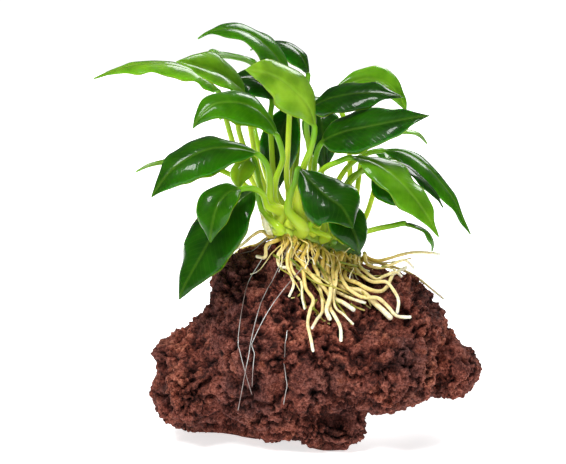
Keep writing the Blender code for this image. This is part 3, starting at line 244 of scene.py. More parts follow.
# How a leaf departs from the common form: ripple is the margin's wave in millimetres, sheath the radius
# of its clasping foot, reach the share of the stalk over which that foot narrows, and dome how far each
# half bulges up as a share of its width
LEAF_HABIT = {"ripple": 0.5, "sheath": 1.7, "reach": 0.2, "dome": 0.12}
OWN_HABIT = {
    "leaf_01": {"sheath": 2.9, "reach": 0.38},
    "leaf_02": {"sheath": 2.6, "reach": 0.34},
    "leaf_03": {"ripple": 0.7, "sheath": 2.8, "reach": 0.42, "dome": 0.08},
    "leaf_07": {"ripple": 0.55},
    "leaf_09": {"ripple": 0.8},
    "leaf_13": {"ripple": 0.9, "sheath": 2.0, "dome": 0.06},
    "leaf_16": {"ripple": 0.9, "sheath": 2.7, "reach": 0.4},
    "leaf_17": {"sheath": 1.6},
    "leaf_20": {"sheath": 2.2, "reach": 0.3},
    "leaf_21": {"sheath": 2.2, "reach": 0.3},
}

# Cords: roots, the bud and the line
CAP_FLATNESS = math.cos(math.radians(0.5))
CORD_STEP_MM = 0.6
CORD_WOBBLE = 0.00008       # in metres, as the next
ROOT_WOBBLE = 0.0003
TIP_ROUNDING = (0.0, 0.35, 0.7, 0.9)    # places on the rounded end, as shares of the radius
LAID_HEIGHT = 0.8           # height of a laid cord's middle over the skin, as a share of its radius
FINE_ROOT_TAPER = 0.7       # radius at the tip, as a share of that at the foot
LINE_RADIUS = 0.15
LINE_CLEARANCE_MM = 0.05    # how far off the skins a taut line runs
TAUT_PASSES = 160
ROOTLET_RADII = (0.18, 0.4)
ROOTLET_LENGTHS = (7, 20)
ROOTLET_STATIONS = (0.05, 1.0)
ROOTLET_ANGLES = (-135, -85)
ROOTLET_STRIDE = 1.6
ROOTLET_TURN = 0.28         # spread of the random turn at each stride
ROOTLET_DRIFT = np.array([0, -0.05, -0.22])
ROOTLET_CLEARANCE = 0.1
ROOTLET_SINK = 0.5          # how deep its foot is grown into the stem
ROOTLET_TAPER = 0.6

# Fine roots that only show in front, by pixel of the photograph: (radius, pixels from foot to tip)
FINE_ROOTS = [
    (0.45, [(272, 253), (278, 258), (289, 263), (300, 268), (308, 272), (318, 277), (330, 285)]),
    (0.35, [(316, 262), (324, 271), (331, 277), (343, 282)]),
    (0.35, [(381, 266.5), (390, 268), (396, 271)]),
    (0.4, [(350, 305), (356, 308), (365, 310)]),
    (0.4, [(293, 243), (291, 251), (290, 261)]),
    (0.45, [(312, 308), (318, 313), (322, 319), (331, 324)]),
    (0.4, [(317, 300), (314, 306), (316, 315)]),
    (0.35, [(303, 290), (297, 296), (291, 299)]),
    (0.35, [(335, 300), (343, 312), (352, 324)]),
    (0.3, [(300, 280), (304, 296), (306, 309)]),
    (0.42, [(289, 258), (300, 268), (312, 281), (322, 296), (330, 313)]),
    (0.32, [(326, 262), (342, 268), (360, 275), (380, 276), (396, 269)]),
    (0.4, [(297, 268), (315, 281), (336, 288), (352, 296), (370, 309)]),
    (0.3, [(276, 258), (281, 268), (291, 276), (301, 292)]),
    (0.35, [(340, 262), (356, 267), (372, 263), (392, 262), (412, 258)]),
    (0.3, [(286, 250), (282, 260), (286, 270), (283, 277)]),
    (0.38, [(334, 280), (352, 285), (366, 296), (371, 306)]),
    (0.28, [(310, 262), (322, 270), (330, 284), (343, 292), (352, 304)]),
]

# One more strand of line, by pixel
LOOSE_STRAND = [(289, 330), (287, 342), (284.5, 356), (284, 380), (283, 405)]

# Settings that several nodes share
SHADE = {"data_type": "RGBA", "blend_type": "MULTIPLY"}
BLEND = {"data_type": "RGBA"}
SMOOTH = {"interpolation_type": "SMOOTHSTEP"}
NOISE_4D = {"noise_dimensions": "4D"}       # a noise with a seed of its own in W


def mm(value):
    """Millimetres to metres, for a number or a sequence of numbers."""
    return np.asarray(value, float) * 0.001


def in_mm(place):
    """A place in metres as an array in millimetres."""
    return np.array(place) * 1000


def per(size):
    """The texture scale that repeats a pattern about once in so many millimetres."""
    return 1000 / size


def unit(vector):
    vector = np.asarray(vector, float)
    return vector / np.linalg.norm(vector)


def linear(hex_colour, alpha=1.0):
    """An sRGB hex colour as linear red, green, blue and alpha."""
    parts = [int(hex_colour[i:i + 2], 16) / 255 for i in (1, 3, 5)]
    return (*[p / 12.92 if p <= 0.04045 else ((p + 0.055) / 1.055) ** 2.4 for p in parts], alpha)


def smooth_curve(points):
    """A centripetal Catmull-Rom curve through the points, as a dense polyline."""
    points = [np.asarray(point, float) for point in points]
    points = [2 * points[0] - points[1]] + points + [2 * points[-1] - points[-2]]
    curve = []
    for p0, p1, p2, p3 in zip(points, points[1:], points[2:], points[3:]):
        t1 = math.sqrt(np.linalg.norm(p1 - p0))
        t2 = t1 + math.sqrt(np.linalg.norm(p2 - p1))
        t3 = t2 + math.sqrt(np.linalg.norm(p3 - p2))
        for step in range(CURVE_STEPS):
            t = t1 + (t2 - t1) * step / CURVE_STEPS
            a1 = (t1 - t) / t1 * p0 + t / t1 * p1
            a2 = (t2 - t) / (t2 - t1) * p1 + (t - t1) / (t2 - t1) * p2
            a3 = (t3 - t) / (t3 - t2) * p2 + (t - t2) / (t3 - t2) * p3
            b1 = (t2 - t) / t2 * a1 + t / t2 * a2
            b2 = (t3 - t) / (t3 - t1) * a2 + (t - t1) / (t3 - t1) * a3
            curve.append((t2 - t) / (t2 - t1) * b1 + (t - t1) / (t2 - t1) * b2)
    curve.append(points[-2])
    return np.array(curve)


def arc_lengths(curve):
    return np.concatenate([[0.0], np.cumsum(np.linalg.norm(np.diff(curve, axis=0), axis=1))])


def along(curve, shares):
    """Points at the given shares of a curve's length."""
    lengths = arc_lengths(curve)
    targets = np.asarray(shares, float) * lengths[-1]
    return np.stack([np.interp(targets, lengths, curve[:, axis]) for axis in range(3)], axis=1)


def turned_frames(path, start, face, twist_degrees, turn):
    """Normal and side along a path, with as little turning as the path allows.

    The normal at index start is face made square to the path; turn runs from -1 to 1 along the blade
    and shares out the leaf's own twist.
    """
    tangents = np.gradient(path, axis=0)
    tangents /= np.linalg.norm(tangents, axis=1)[:, None]
    normals = np.zeros_like(path)
    face = np.asarray(face, float)
    normals[start] = unit(face - tangents[start] * face.dot(tangents[start]))
    for step, indices in ((1, range(start, len(path) - 1)), (-1, range(start, 0, -1))):
        for here in indices:
            there = here + step
            chord = path[there] - path[here]
            normal = normals[here] - 2 * chord.dot(normals[here]) / chord.dot(chord) * chord
            tangent = tangents[here] - 2 * chord.dot(tangents[here]) / chord.dot(chord) * chord
            swing = tangents[there] - tangent
            if swing.dot(swing) > 1e-12:
                normal = normal - 2 * swing.dot(normal) / swing.dot(swing) * swing
            normals[there] = normal
    angles = np.radians(twist_degrees) * 0.5 * turn
    sides = np.cross(tangents, normals)
    turned = normals * np.cos(angles)[:, None] + sides * np.sin(angles)[:, None]
    return turned, np.cross(tangents, turned)


def stem_seat(axis, station, angle, clearance):
    """A point off the stem's skin by the clearance, and the way out from the stem there."""
    curve = smooth_curve(STEM_AXES[axis])
    here, ahead = along(curve, [station, min(1.0, station + TANGENT_STEP)])
    behind = along(curve, [max(0.0, station - TANGENT_STEP)])[0]
    tangent = unit(ahead - behind)
    up = unit(np.array([0, 0, 1.0]) - tangent * tangent[2])
    back = np.cross(up, tangent)
    if (back[1] if axis == "A" else back[0]) < 0:
        back = -back
    outward = up * math.cos(math.radians(angle)) + back * math.sin(math.radians(angle))
    return here + outward * (STEM_RADIUS + clearance), outward


def add_node(tree, kind, inputs=(), output=None, stops=(), **settings):
    """Add a node and return one of its outputs, by default the first that its settings leave in use.

    kind leaves out "ShaderNode". inputs are values, hex colours or other nodes' outputs: a list fills the
    sockets in use in their order, a dictionary names them. stops are a ramp's places and colours.
    """
    made = tree.nodes.new(kind if kind.startswith("GeometryNode") else "ShaderNode" + kind)
    for name, value in settings.items():
        setattr(made, name, value)
    if isinstance(inputs, dict):
        given = [(made.inputs[name], value) for name, value in inputs.items()]
    else:
        given = zip([socket for socket in made.inputs if socket.enabled], inputs)
    for socket, value in given:
        if isinstance(value, bpy.types.NodeSocket):
            tree.links.new(value, socket)
        elif isinstance(value, str) and value.startswith("#"):
            socket.default_value = linear(value)
        else:
            socket.default_value = value
    if stops:
        elements = made.color_ramp.elements
        while len(elements) < len(stops):
            elements.new(1.0)
        for element, (place, colour) in zip(elements, stops):
            element.position = place
            element.color = linear(colour)
    return made.outputs[output] if output else [socket for socket in made.outputs if socket.enabled][0]


def new_material(name, preview, **shader_values):
    """A material, and the function that adds its nodes; uniform values go on the shader's own sockets."""
    made = bpy.data.materials.new(name)
    made.use_nodes = True
    made.diffuse_color = linear(preview)
    shader = made.node_tree.nodes["Principled BSDF"]
    for socket, value in shader_values.items():
        shader.inputs[socket.replace("_", " ")].default_value = value
    return made, partial(add_node, made.node_tree)


def finished(material, **outputs):
    """Feed the shader of a material from its nodes' outputs, and return the material."""
    tree = material.node_tree
    for socket, output in outputs.items():
        tree.links.new(output, tree.nodes["Principled BSDF"].inputs[socket.replace("_", " ")])
    return material


def lava_stone_material():
    """Scoria: gas-blown lava, dry and matt, brick brown where it oxidised, with painted shade near black in
    its pores, dips and cracks and darker in its crevices.
    """
    made, node = new_material("scoria, oxidised brown", "#6B463C", Roughness=0.9, Specular_IOR_Level=0.25,
                              IOR=1.5)
    place = node("TexCoord", output="Object")
    patch = node("TexNoise", {"Vector": place, "Scale": per(11), "Detail": 8, "Roughness": 0.68,
                              "Distortion": 0.3})
    body = node("ValToRGB", [patch], stops=[(0.33, "#552A22"), (0.43, "#844C40"), (0.52, "#A26252"),
                                            (0.61, "#B26E58"), (0.72, "#C48468")])
    ash = node("TexNoise", {"Vector": place, "Scale": per(19), "Detail": 4})
    greyed = node("Mix", [node("MapRange", [ash, 0.48, 0.66, 0, 0.6]), body, "#6A4A48"], **BLEND)
    spots = node("TexNoise", {"Vector": place, "Scale": per(9), "Detail": 6, "Roughness": 0.7, "W": 3.1},
                 **NOISE_4D)
    rusted = node("Mix", [node("MapRange", [spots, 0.55, 0.68, 0, 0.75]), greyed, "#A8603F"], **BLEND)
    grain = node("TexNoise", {"Vector": place, "Scale": per(1.1), "Detail": 4, "Roughness": 0.75})
    grain_shade = node("ValToRGB", [grain], stops=[(0.37, "#4A231B"), (0.49, "#BC9C92"), (0.6, "#FFFFFF")])
    grained = node("Mix", [0.9, rusted, grain_shade], **SHADE)
    # Painted shade: the stone's own crevices are darkened by how closed in they are
    open_sky = node("AmbientOcclusion", {"Distance": 0.009}, output="AO", samples=6, only_local=True)
    painted_crevice_shade = node("ValToRGB", [open_sky], stops=[(0.2, "#4A241C"), (0.55, "#C8A094"), (0.85, "#FFFFFF")])
    shaded = node("Mix", [0.9, grained, painted_crevice_shade], **SHADE)
    # Painted shade, near black, where the skin's form marks pores, dips between lumps and cracks
    hollow = node("Attribute", output="Fac", attribute_name="hollow")
    dark = node("Mix", [hollow, shaded, "#120605"], **BLEND)
    pits = node("TexVoronoi", {"Vector": place, "Scale": per(1.1)})
    rough = node("Math", [grain, pits], operation="ADD")
    bump = node("Bump", {"Height": rough, "Distance": 0.0007, "Strength": 1})
    return finished(made, Base_Color=dark, Normal=bump)


def leaf_material(settings):
    """Anubias leaf: a thick waxy blade, wet, with a fine pale edge and veins that sweep to the tip."""
    made, node = new_material("waxy leaf, wet", "#2F7A1E", Roughness=0.36, IOR=1.45,
                              Specular_IOR_Level=0.08, Coat_Weight=0.6, Coat_Roughness=0.045,
                              Coat_IOR=1.33, Subsurface_Weight=0.35, Subsurface_Scale=0.0016,
                              Subsurface_Radius=(0.45, 1.0, 0.05))
    youth, blade, under = [node("Attribute", output="Fac", attribute_name=name)
                           for name in ("youth", "blade", "under")]
    # From midrib (0) to margin (1), and in millimetres the way from the blade's base and from the midrib
    spot = node("SeparateXYZ", [node("Attribute", output="Vector", attribute_name="spot")])
    across, run, reach = spot.node.outputs
    place = node("TexCoord", output="Object")

    green = node("ValToRGB", [youth], stops=[(0.0, "#123402"), (0.22, "#1E4C02"), (0.35, "#3C7604"),
                                             (0.5, "#588C10"), (0.75, "#86AC2A"), (1.0, "#A2BE12")])
    cloud = node("TexNoise", {"Vector": place, "Scale": per(8), "Detail": 3})
    cloud_shade = node("ValToRGB", [cloud], stops=[(0.3, "#8FA878"), (0.55, "#D8E2C8"), (0.72, "#FFFFFF")])
    mottled = node("Mix", [0.85, green, cloud_shade], **SHADE)

    # Veins leave the midrib at about 50 degrees and bend towards the tip
    lean = node("Math", [reach, 0.75], operation="MULTIPLY")
    bend = node("Math", [reach, 1.6], operation="POWER")
    bent = node("Math", [bend, 0.08, lean], operation="MULTIPLY_ADD")
    phase = node("Math", [run, bent], operation="SUBTRACT")
    wander = node("TexNoise", {"Vector": place, "Scale": per(6), "Detail": 1})
    shifted = node("Math", [wander, 1.3, phase], operation="MULTIPLY_ADD")
    turn = node("Math", [shifted, math.pi / VEIN_SPACING], operation="MULTIPLY")
    size = node("Math", [node("Math", [turn], operation="SINE")], operation="ABSOLUTE")
    vein = node("Math", [node("MapRange", [size, 0.9, 1.0], **SMOOTH), blade], operation="MULTIPLY")
    vein_share = node("Math", [vein, 0.015], operation="MULTIPLY")
    veined = node("Mix", [vein_share, mottled, "#8FBF4A"], **BLEND)

    rib_strength = node("MapRange", [youth, 0, 1, 0.02, 0.4])
    rib = node("MapRange", [reach, 0.15, 0.85, rib_strength, 0], **SMOOTH)
    ribbed = node("Mix", [rib, veined, "#8DBB3C"], **BLEND)
    edge = node("MapRange", [across, 0.94, 1.0, 0, 0.28], **SMOOTH)
    edged = node("Mix", [edge, ribbed, "#8FBC22"], **BLEND)
    pale = node("Math", [under, 0.4], operation="MULTIPLY")
    two_faced = node("Mix", [pale, edged, "#6E9A2E"], **BLEND)

    foot = node("MapRange", [run, -26, -3])
    stalk = node("ValToRGB", [foot], stops=[(0.0, "#CFE04A"), (0.35, "#B2CF2E"), (1.0, "#6EA51A")])
    stalk_shade = node("Mix", [node("MapRange", [youth, 0, 0.3, 0.6, 0]), stalk, "#2F6A10"], **BLEND)
    whole = node("Mix", [blade, stalk_shade, two_faced], **BLEND)

    ripple = node("TexNoise", {"Vector": place, "Scale": per(6.5), "Detail": 1.5})
    vein_height = node("Math", [vein, -0.03], operation="MULTIPLY")
    relief = node("Math", [ripple, 1, vein_height], operation="MULTIPLY_ADD")
    bump = node("Bump", {"Height": relief, "Distance": 0.0011, "Strength": settings.vein_relief})
    return finished(made, Base_Color=whole, Normal=bump, Coat_Normal=bump)


def stem_material():
    """Live stem tissue: smooth lime green on the crown, darker along the old end, with scar rings."""
    made, node = new_material("green stem, smooth", "#8DB33A", Roughness=0.42, IOR=1.45, Coat_Weight=0.3,
                              Coat_Roughness=0.15, Coat_IOR=1.33, Subsurface_Weight=0.3,
                              Subsurface_Scale=0.0015, Subsurface_Radius=(0.6, 1.0, 0.15))
    place = node("TexCoord", output="Object")
    end = node("MapRange", [node("SeparateXYZ", [place]), *mm(STEM_COLOUR_SPAN)])
    body = node("ValToRGB", [end], stops=[(0.0, "#C2DA55"), (0.45, "#A5C63C"), (0.7, "#5E8A2A"),
                                          (1.0, "#3A6420")])
    noise = node("TexNoise", {"Vector": place, "Scale": per(3), "Detail": 4})
    mottle = node("ValToRGB", [noise], stops=[(0.35, "#9A9070"), (0.6, "#FFFFFF")])
    mottled = node("Mix", [0.6, body, mottle], **SHADE)
    scars = node("TexWave", {"Vector": place, "Scale": WAVE_REPEAT * per(SCAR_SPACING), "Distortion": 2,
                             "Detail": 2}, output="Fac")
    scarred = node("Mix", [node("MapRange", [scars, 0.75, 1, 0, 0.35]), mottled, "#6B6A2A"], **BLEND)
    height = node("Math", [noise, scars], operation="SUBTRACT")
    bump = node("Bump", {"Height": height, "Distance": 0.0003, "Strength": 0.6})
    return finished(made, Base_Color=scarred, Normal=bump)


def root_material(name, stops):
    """Live root: a smooth cord of soft tissue, cream with a darker crown end; stops run from foot to tip."""
    made, node = new_material(name, stops[len(stops) // 2][1], Roughness=0.45, IOR=1.42, Coat_Weight=0.2,
                              Coat_Roughness=0.2, Coat_IOR=1.33, Subsurface_Weight=0.3,
                              Subsurface_Scale=0.0009, Subsurface_Radius=(1.0, 0.8, 0.4))
    share = node("Attribute", output="Fac", attribute_name="share")
    place = node("TexCoord", output="Object")
    blotch = node("TexNoise", {"Vector": place, "Scale": per(4), "Detail": 3})
    moved = node("Math", [blotch, 0.5, share], operation="MULTIPLY_ADD")
    centred = node("Math", [moved, 0.25], operation="SUBTRACT")
    body = node("ValToRGB", [centred], stops=stops)
    fine = node("TexNoise", {"Vector": place, "Scale": per(1.2), "Detail": 3})
    speck = node("ValToRGB", [fine], stops=[(0.3, "#C9AE78"), (0.55, "#FFFFFF")])
    specked = node("Mix", [0.45, body, speck], **SHADE)
    bump = node("Bump", {"Height": fine, "Distance": 0.0001, "Strength": 0.5})
    return finished(made, Base_Color=specked, Normal=bump)


def toned_material(name, preview, size, detail, stops, **shader_values):
    """A material whose colour drifts between stops over patches of a size in millimetres."""
    made, node = new_material(name, preview, **shader_values)
    place = node("TexCoord", output="Object")
    tone = node("TexNoise", {"Vector": place, "Scale": per(size), "Detail": detail})
    return finished(made, Base_Color=node("ValToRGB", [tone], stops=stops))


def dry_sheath_material():
    """Dry leaf sheath: papery and matt, cream with light passing through it."""
    return toned_material("dry sheath, papery", "#E6DDA8", 1.5, 3, [(0.35, "#C9BC7C"), (0.65, "#F2ECC8")],
                          Roughness=0.6, IOR=1.45, Subsurface_Weight=0.4, Subsurface_Scale=0.001,
                          Subsurface_Radius=(1.0, 0.9, 0.5))


def line_material():
    """Monofilament nylon: clear and slick, it shows as a pale thread with a bright glint."""
    return toned_material("nylon monofilament", "#D9DEDA", 12, 1, [(0.35, "#7C6A64"), (0.62, "#C6C8C4")],
                          Roughness=0.18, IOR=1.53, Specular_IOR_Level=0.7)


def floor_material():
    """Opal acrylic of a light table: a plain white sheet, softly lit from below, so shadows stay faint."""
    return toned_material("opal acrylic, lit from below", "#FFFFFF", 250, 2,
                          [(0.3, "#FBFBFB"), (0.7, "#FFFFFF")], Roughness=0.8, Specular_IOR_Level=0.1,
                          Emission_Color=linear("#FFFFFF"), Emission_Strength=0.7)


def half_width_at(share, broadest):
    """Half width of a blade, as a share of its greatest, from its base (0) to its tip (1)."""
    power = math.log(0.5) / math.log(broadest)
    return np.sin(np.pi * share ** power) ** BLADE_FULLNESS * (1 - TIP_TAPER * share ** 5)


def blade_section(leaf, habit, share, run, across, face, ripple_scale):
    """Side and height offsets of a blade's section; across runs -1 to 1, face is 1 on top and -1 below."""
    width = leaf.half_width * half_width_at(share, leaf.broadest) if share < 1 else 0
    width = max(width, TIP_HALF_WIDTH)
    rise = np.radians(np.where(across > 0, leaf.fold[0], leaf.fold[1]))
    reach = np.abs(across) * width
    bulge = habit["dome"] * width * np.sin(np.pi * np.abs(across) ** 0.9)
    number = int(leaf.name[-2:])
    phase = run * 2 * math.pi / (RIPPLE_LENGTH + number % 5) + number + np.where(across > 0, 0, 1.9)
    wave = np.sin(phase) + 0.45 * np.sin(phase * 1.83 + number)
    ripple = habit["ripple"] * ripple_scale * wave * np.abs(across) ** 2.2 * min(1, width / 4)
    thickness = BLADE_THICKNESS * (1 - np.abs(across) ** 6)
    rib = RIB_DEPTH * (1 - 0.75 * share) * np.exp(-(reach / RIB_REACH) ** 2)
    groove = GROOVE_DEPTH * (1 - 0.5 * share) * np.exp(-(reach / GROOVE_REACH) ** 2)
    height = reach * np.sin(rise) + bulge + ripple
    height = height + np.where(face > 0, thickness / 2 - groove, -thickness / 2 - rib)
    return width * across * np.cos(rise), height


def leaf_surface(leaf, settings):
    """Rings of points from the foot of the stalk to the tip, with the values that its material reads."""
    habit = {**LEAF_HABIT, **OWN_HABIT.get(leaf.name, {})}
    foot, outward = stem_seat(leaf.axis, leaf.station, leaf.angle, -FOOT_SINK)
    stalk = [foot, foot + (STEM_RADIUS + FOOT_SINK) * outward] + list(leaf.stalk)
    curve = smooth_curve(stalk + list(leaf.blade))
    split = len(stalk) * CURVE_STEPS
    stalk_curve, blade_curve = curve[:split + 1], curve[split:]
    stalk_shares = np.linspace(0, 1, STALK_RINGS, endpoint=False)
    even = np.linspace(0, 1, BLADE_RINGS + 1)
    blade_shares = 0.5 * even + 0.25 * (1 - np.cos(np.pi * even))
    path = np.vstack([along(stalk_curve, stalk_shares), along(blade_curve, blade_shares)])
    turn = np.concatenate([np.full(STALK_RINGS, -1.0), blade_shares * 2 - 1])
    normals, sides = turned_frames(path, STALK_RINGS + BLADE_RINGS // 2, leaf.face, leaf.twist, turn)

    steps = np.linspace(-1, 1, 2 * BLADE_SIDE_STEPS + 1)
    across = np.sign(steps) * np.abs(steps) ** MIDRIB_CROWDING
    across = np.concatenate([across, across[-2:0:-1]])
    face = np.where(np.arange(len(across)) <= 2 * BLADE_SIDE_STEPS, 1, -1)
    round_angle = np.linspace(math.pi, -math.pi, len(across), endpoint=False)
    round_side, round_height = np.cos(round_angle), np.sin(round_angle)
    blade_length = arc_lengths(blade_curve)[-1]
    stalk_length = arc_lengths(stalk_curve)[-1]
    rings, spots = [], []
    for index, share in enumerate(stalk_shares):
        clasp = math.exp(-(share / habit["reach"]) ** 1.7)
        radius = STALK_RADIUS + (habit["sheath"] - STALK_RADIUS) * clasp
        ring = np.outer(round_side, sides[index]) + np.outer(round_height, normals[index])
        rings.append(path[index] + radius * ring)
        spots.append((np.zeros(len(across)), np.full(len(across), (share - 1) * stalk_length), across * 0))
    for index, share in enumerate(blade_shares, STALK_RINGS):
        run = share * blade_length
        side, height = blade_section(leaf, habit, share, run, across, face, settings.ripple)
        entry = min(1.0, share / BLADE_ENTRY)
        entry = entry * entry * (3 - 2 * entry)
        side = entry * side + (1 - entry) * STALK_RADIUS * round_side
        height = entry * height + (1 - entry) * STALK_RADIUS * round_height
        rings.append(path[index] + np.outer(side, sides[index]) + np.outer(height, normals[index]))
        spots.append((np.abs(across), np.full(len(across), run), np.abs(side)))
    blade = [0.0] * STALK_RINGS + [min(1.0, share / BLADE_ENTRY) for share in blade_shares]
    return rings, spots, blade, face


def paint(data, name, values, kind="FLOAT"):
    """Store one value a vertex under a name that a material reads."""
    attribute = data.attributes.new(name, kind, "POINT")
    field = "vector" if kind == "FLOAT_VECTOR" else "value"
    attribute.data.foreach_set(field, np.asarray(values, np.float32).ravel())


def add_piece(name, data, finish, slot, *nodes):
    """Put a finished mesh in the scene: it rides with the plant and stands for the named solids."""
    data.name = name
    data.materials.clear()
    data.materials.append(finish)
    data.shade_smooth()
    piece = bpy.data.objects.new(name, data)
    bpy.context.scene.collection.objects.link(piece)
    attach(piece, BODY)
    if nodes:
        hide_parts(*nodes)
    return piece


def lofted_mesh(name, rings):
    """One closed body through rings of equal size, with its two ends closed."""
    mesh = bmesh.new()
    loops = [[mesh.verts.new(mm(point)) for point in ring] for ring in rings]
    for lower, upper in zip(loops, loops[1:]):
        for index in range(len(lower)):
            following = (index + 1) % len(lower)
            mesh.faces.new((lower[index], lower[following], upper[following], upper[index]))
    mesh.faces.new(loops[0])
    mesh.faces.new(loops[-1])
    return as_data(mesh, bpy.data.meshes.new(name))


def as_data(mesh, data):
    """Turn a working mesh's faces outwards and write it into mesh data."""
    bmesh.ops.recalc_face_normals(mesh, faces=mesh.faces)
    mesh.to_mesh(data)
    mesh.free()
    return data


def sheath_scale():
    """The dry scale at the stem's front end: a thin cupped sliver that narrows to a point."""
    rings = []
    for share in np.linspace(0, 1, SCALE_RINGS):
        centre = along(smooth_curve(SCALE_PATH), [share])[0]
        half = SCALE_HALF_WIDTH * math.sin(math.pi * (0.25 + 0.72 * share))
        front = [centre + half * (side * SCALE_ACROSS - SCALE_CUP * side * side * SCALE_NORMAL)
                 for side in np.linspace(-1, 1, SCALE_SIDES)]
        rings.append(front + [spot - SCALE_THICKNESS * SCALE_NORMAL for spot in reversed(front)])
    return lofted_mesh("dry_sheath", rings)


def merged_mesh(node):
    """A working copy of a solid from the frame, its loose triangles merged."""
    mesh = bmesh.new()
    mesh.from_mesh(NODES[node].data)
    bmesh.ops.remove_doubles(mesh, verts=mesh.verts, dist=MERGE_DISTANCE)
    return mesh


def merged_copy(node):
    """A closed copy of a solid from the frame."""
    return as_data(merged_mesh(node), bpy.data.meshes.new(node + "_copy"))


def baked(source, tree, values, remesh=0.0, smoothing=0):
    """Run a mesh through an optional remesh and a Geometry Nodes tree, and return the plain result."""
    work = bpy.data.objects.new("work", source)
    bpy.context.scene.collection.objects.link(work)
    if remesh:
        skin = work.modifiers.new("Skin", "REMESH")
        skin.mode = "VOXEL"
        skin.voxel_size = remesh
        ease = work.modifiers.new("Ease facets", "SMOOTH")
        ease.factor, ease.iterations = 0.5, smoothing
    nodes = work.modifiers.new("Form", "NODES")
    nodes.node_group = tree
    for item in tree.interface.items_tree:
        if item.in_out == "INPUT" and item.name in values:
            nodes[item.identifier] = values[item.name]
    graph = bpy.context.evaluated_depsgraph_get()
    graph.update()
    result = bpy.data.meshes.new_from_object(work.evaluated_get(graph))
    bpy.data.objects.remove(work)
    return result


def new_form(name, sizes):
    """A Geometry Nodes tree that takes geometry, named sizes or counts, and a material."""
    tree = bpy.data.node_groups.new(name, "GeometryNodeTree")
    tree.interface.new_socket("Geometry", in_out="INPUT", socket_type="NodeSocketGeometry")
    for label, default in sizes.items():
        kind = "NodeSocketInt" if isinstance(default, int) else "NodeSocketFloat"
        tree.interface.new_socket(label, in_out="INPUT", socket_type=kind).default_value = default
    tree.interface.new_socket("Material", in_out="INPUT", socket_type="NodeSocketMaterial")
    tree.interface.new_socket("Geometry", in_out="OUTPUT", socket_type="NodeSocketGeometry")
    return tree, partial(add_node, tree), tree.nodes.new("NodeGroupInput").outputs


def close_form(tree, node, given, geometry):
    """End a tree: instances made real, the material set and the geometry put out."""
    real = node("GeometryNodeRealizeInstances", [geometry])
    coated = node("GeometryNodeSetMaterial", {"Geometry": real, "Material": given["Material"]})
    tree.links.new(coated, tree.nodes.new("NodeGroupOutput").inputs[0])
    return tree


def noise_relief(node, given, feature, middle, noise, **settings):
    """Heights of a noise about its middle, by the size and height that are given for a feature."""
    place = node("GeometryNodeInputPosition")
    scale = node("Math", [1, given[feature + " size"]], operation="DIVIDE")
    field = node("TexNoise", {"Vector": place, "Scale": scale, **noise}, **settings)
    centred = node("Math", [field, middle], operation="SUBTRACT")
    return node("Math", [centred, given[feature + " height"]], operation="MULTIPLY")


def pushed_out(node, geometry, height):
    """A skin moved along its own normal by a height."""
    offset = node("VectorMath", [node("GeometryNodeInputNormal"), height], operation="SCALE")
    return node("GeometryNodeSetPosition", {"Geometry": geometry, "Offset": offset})


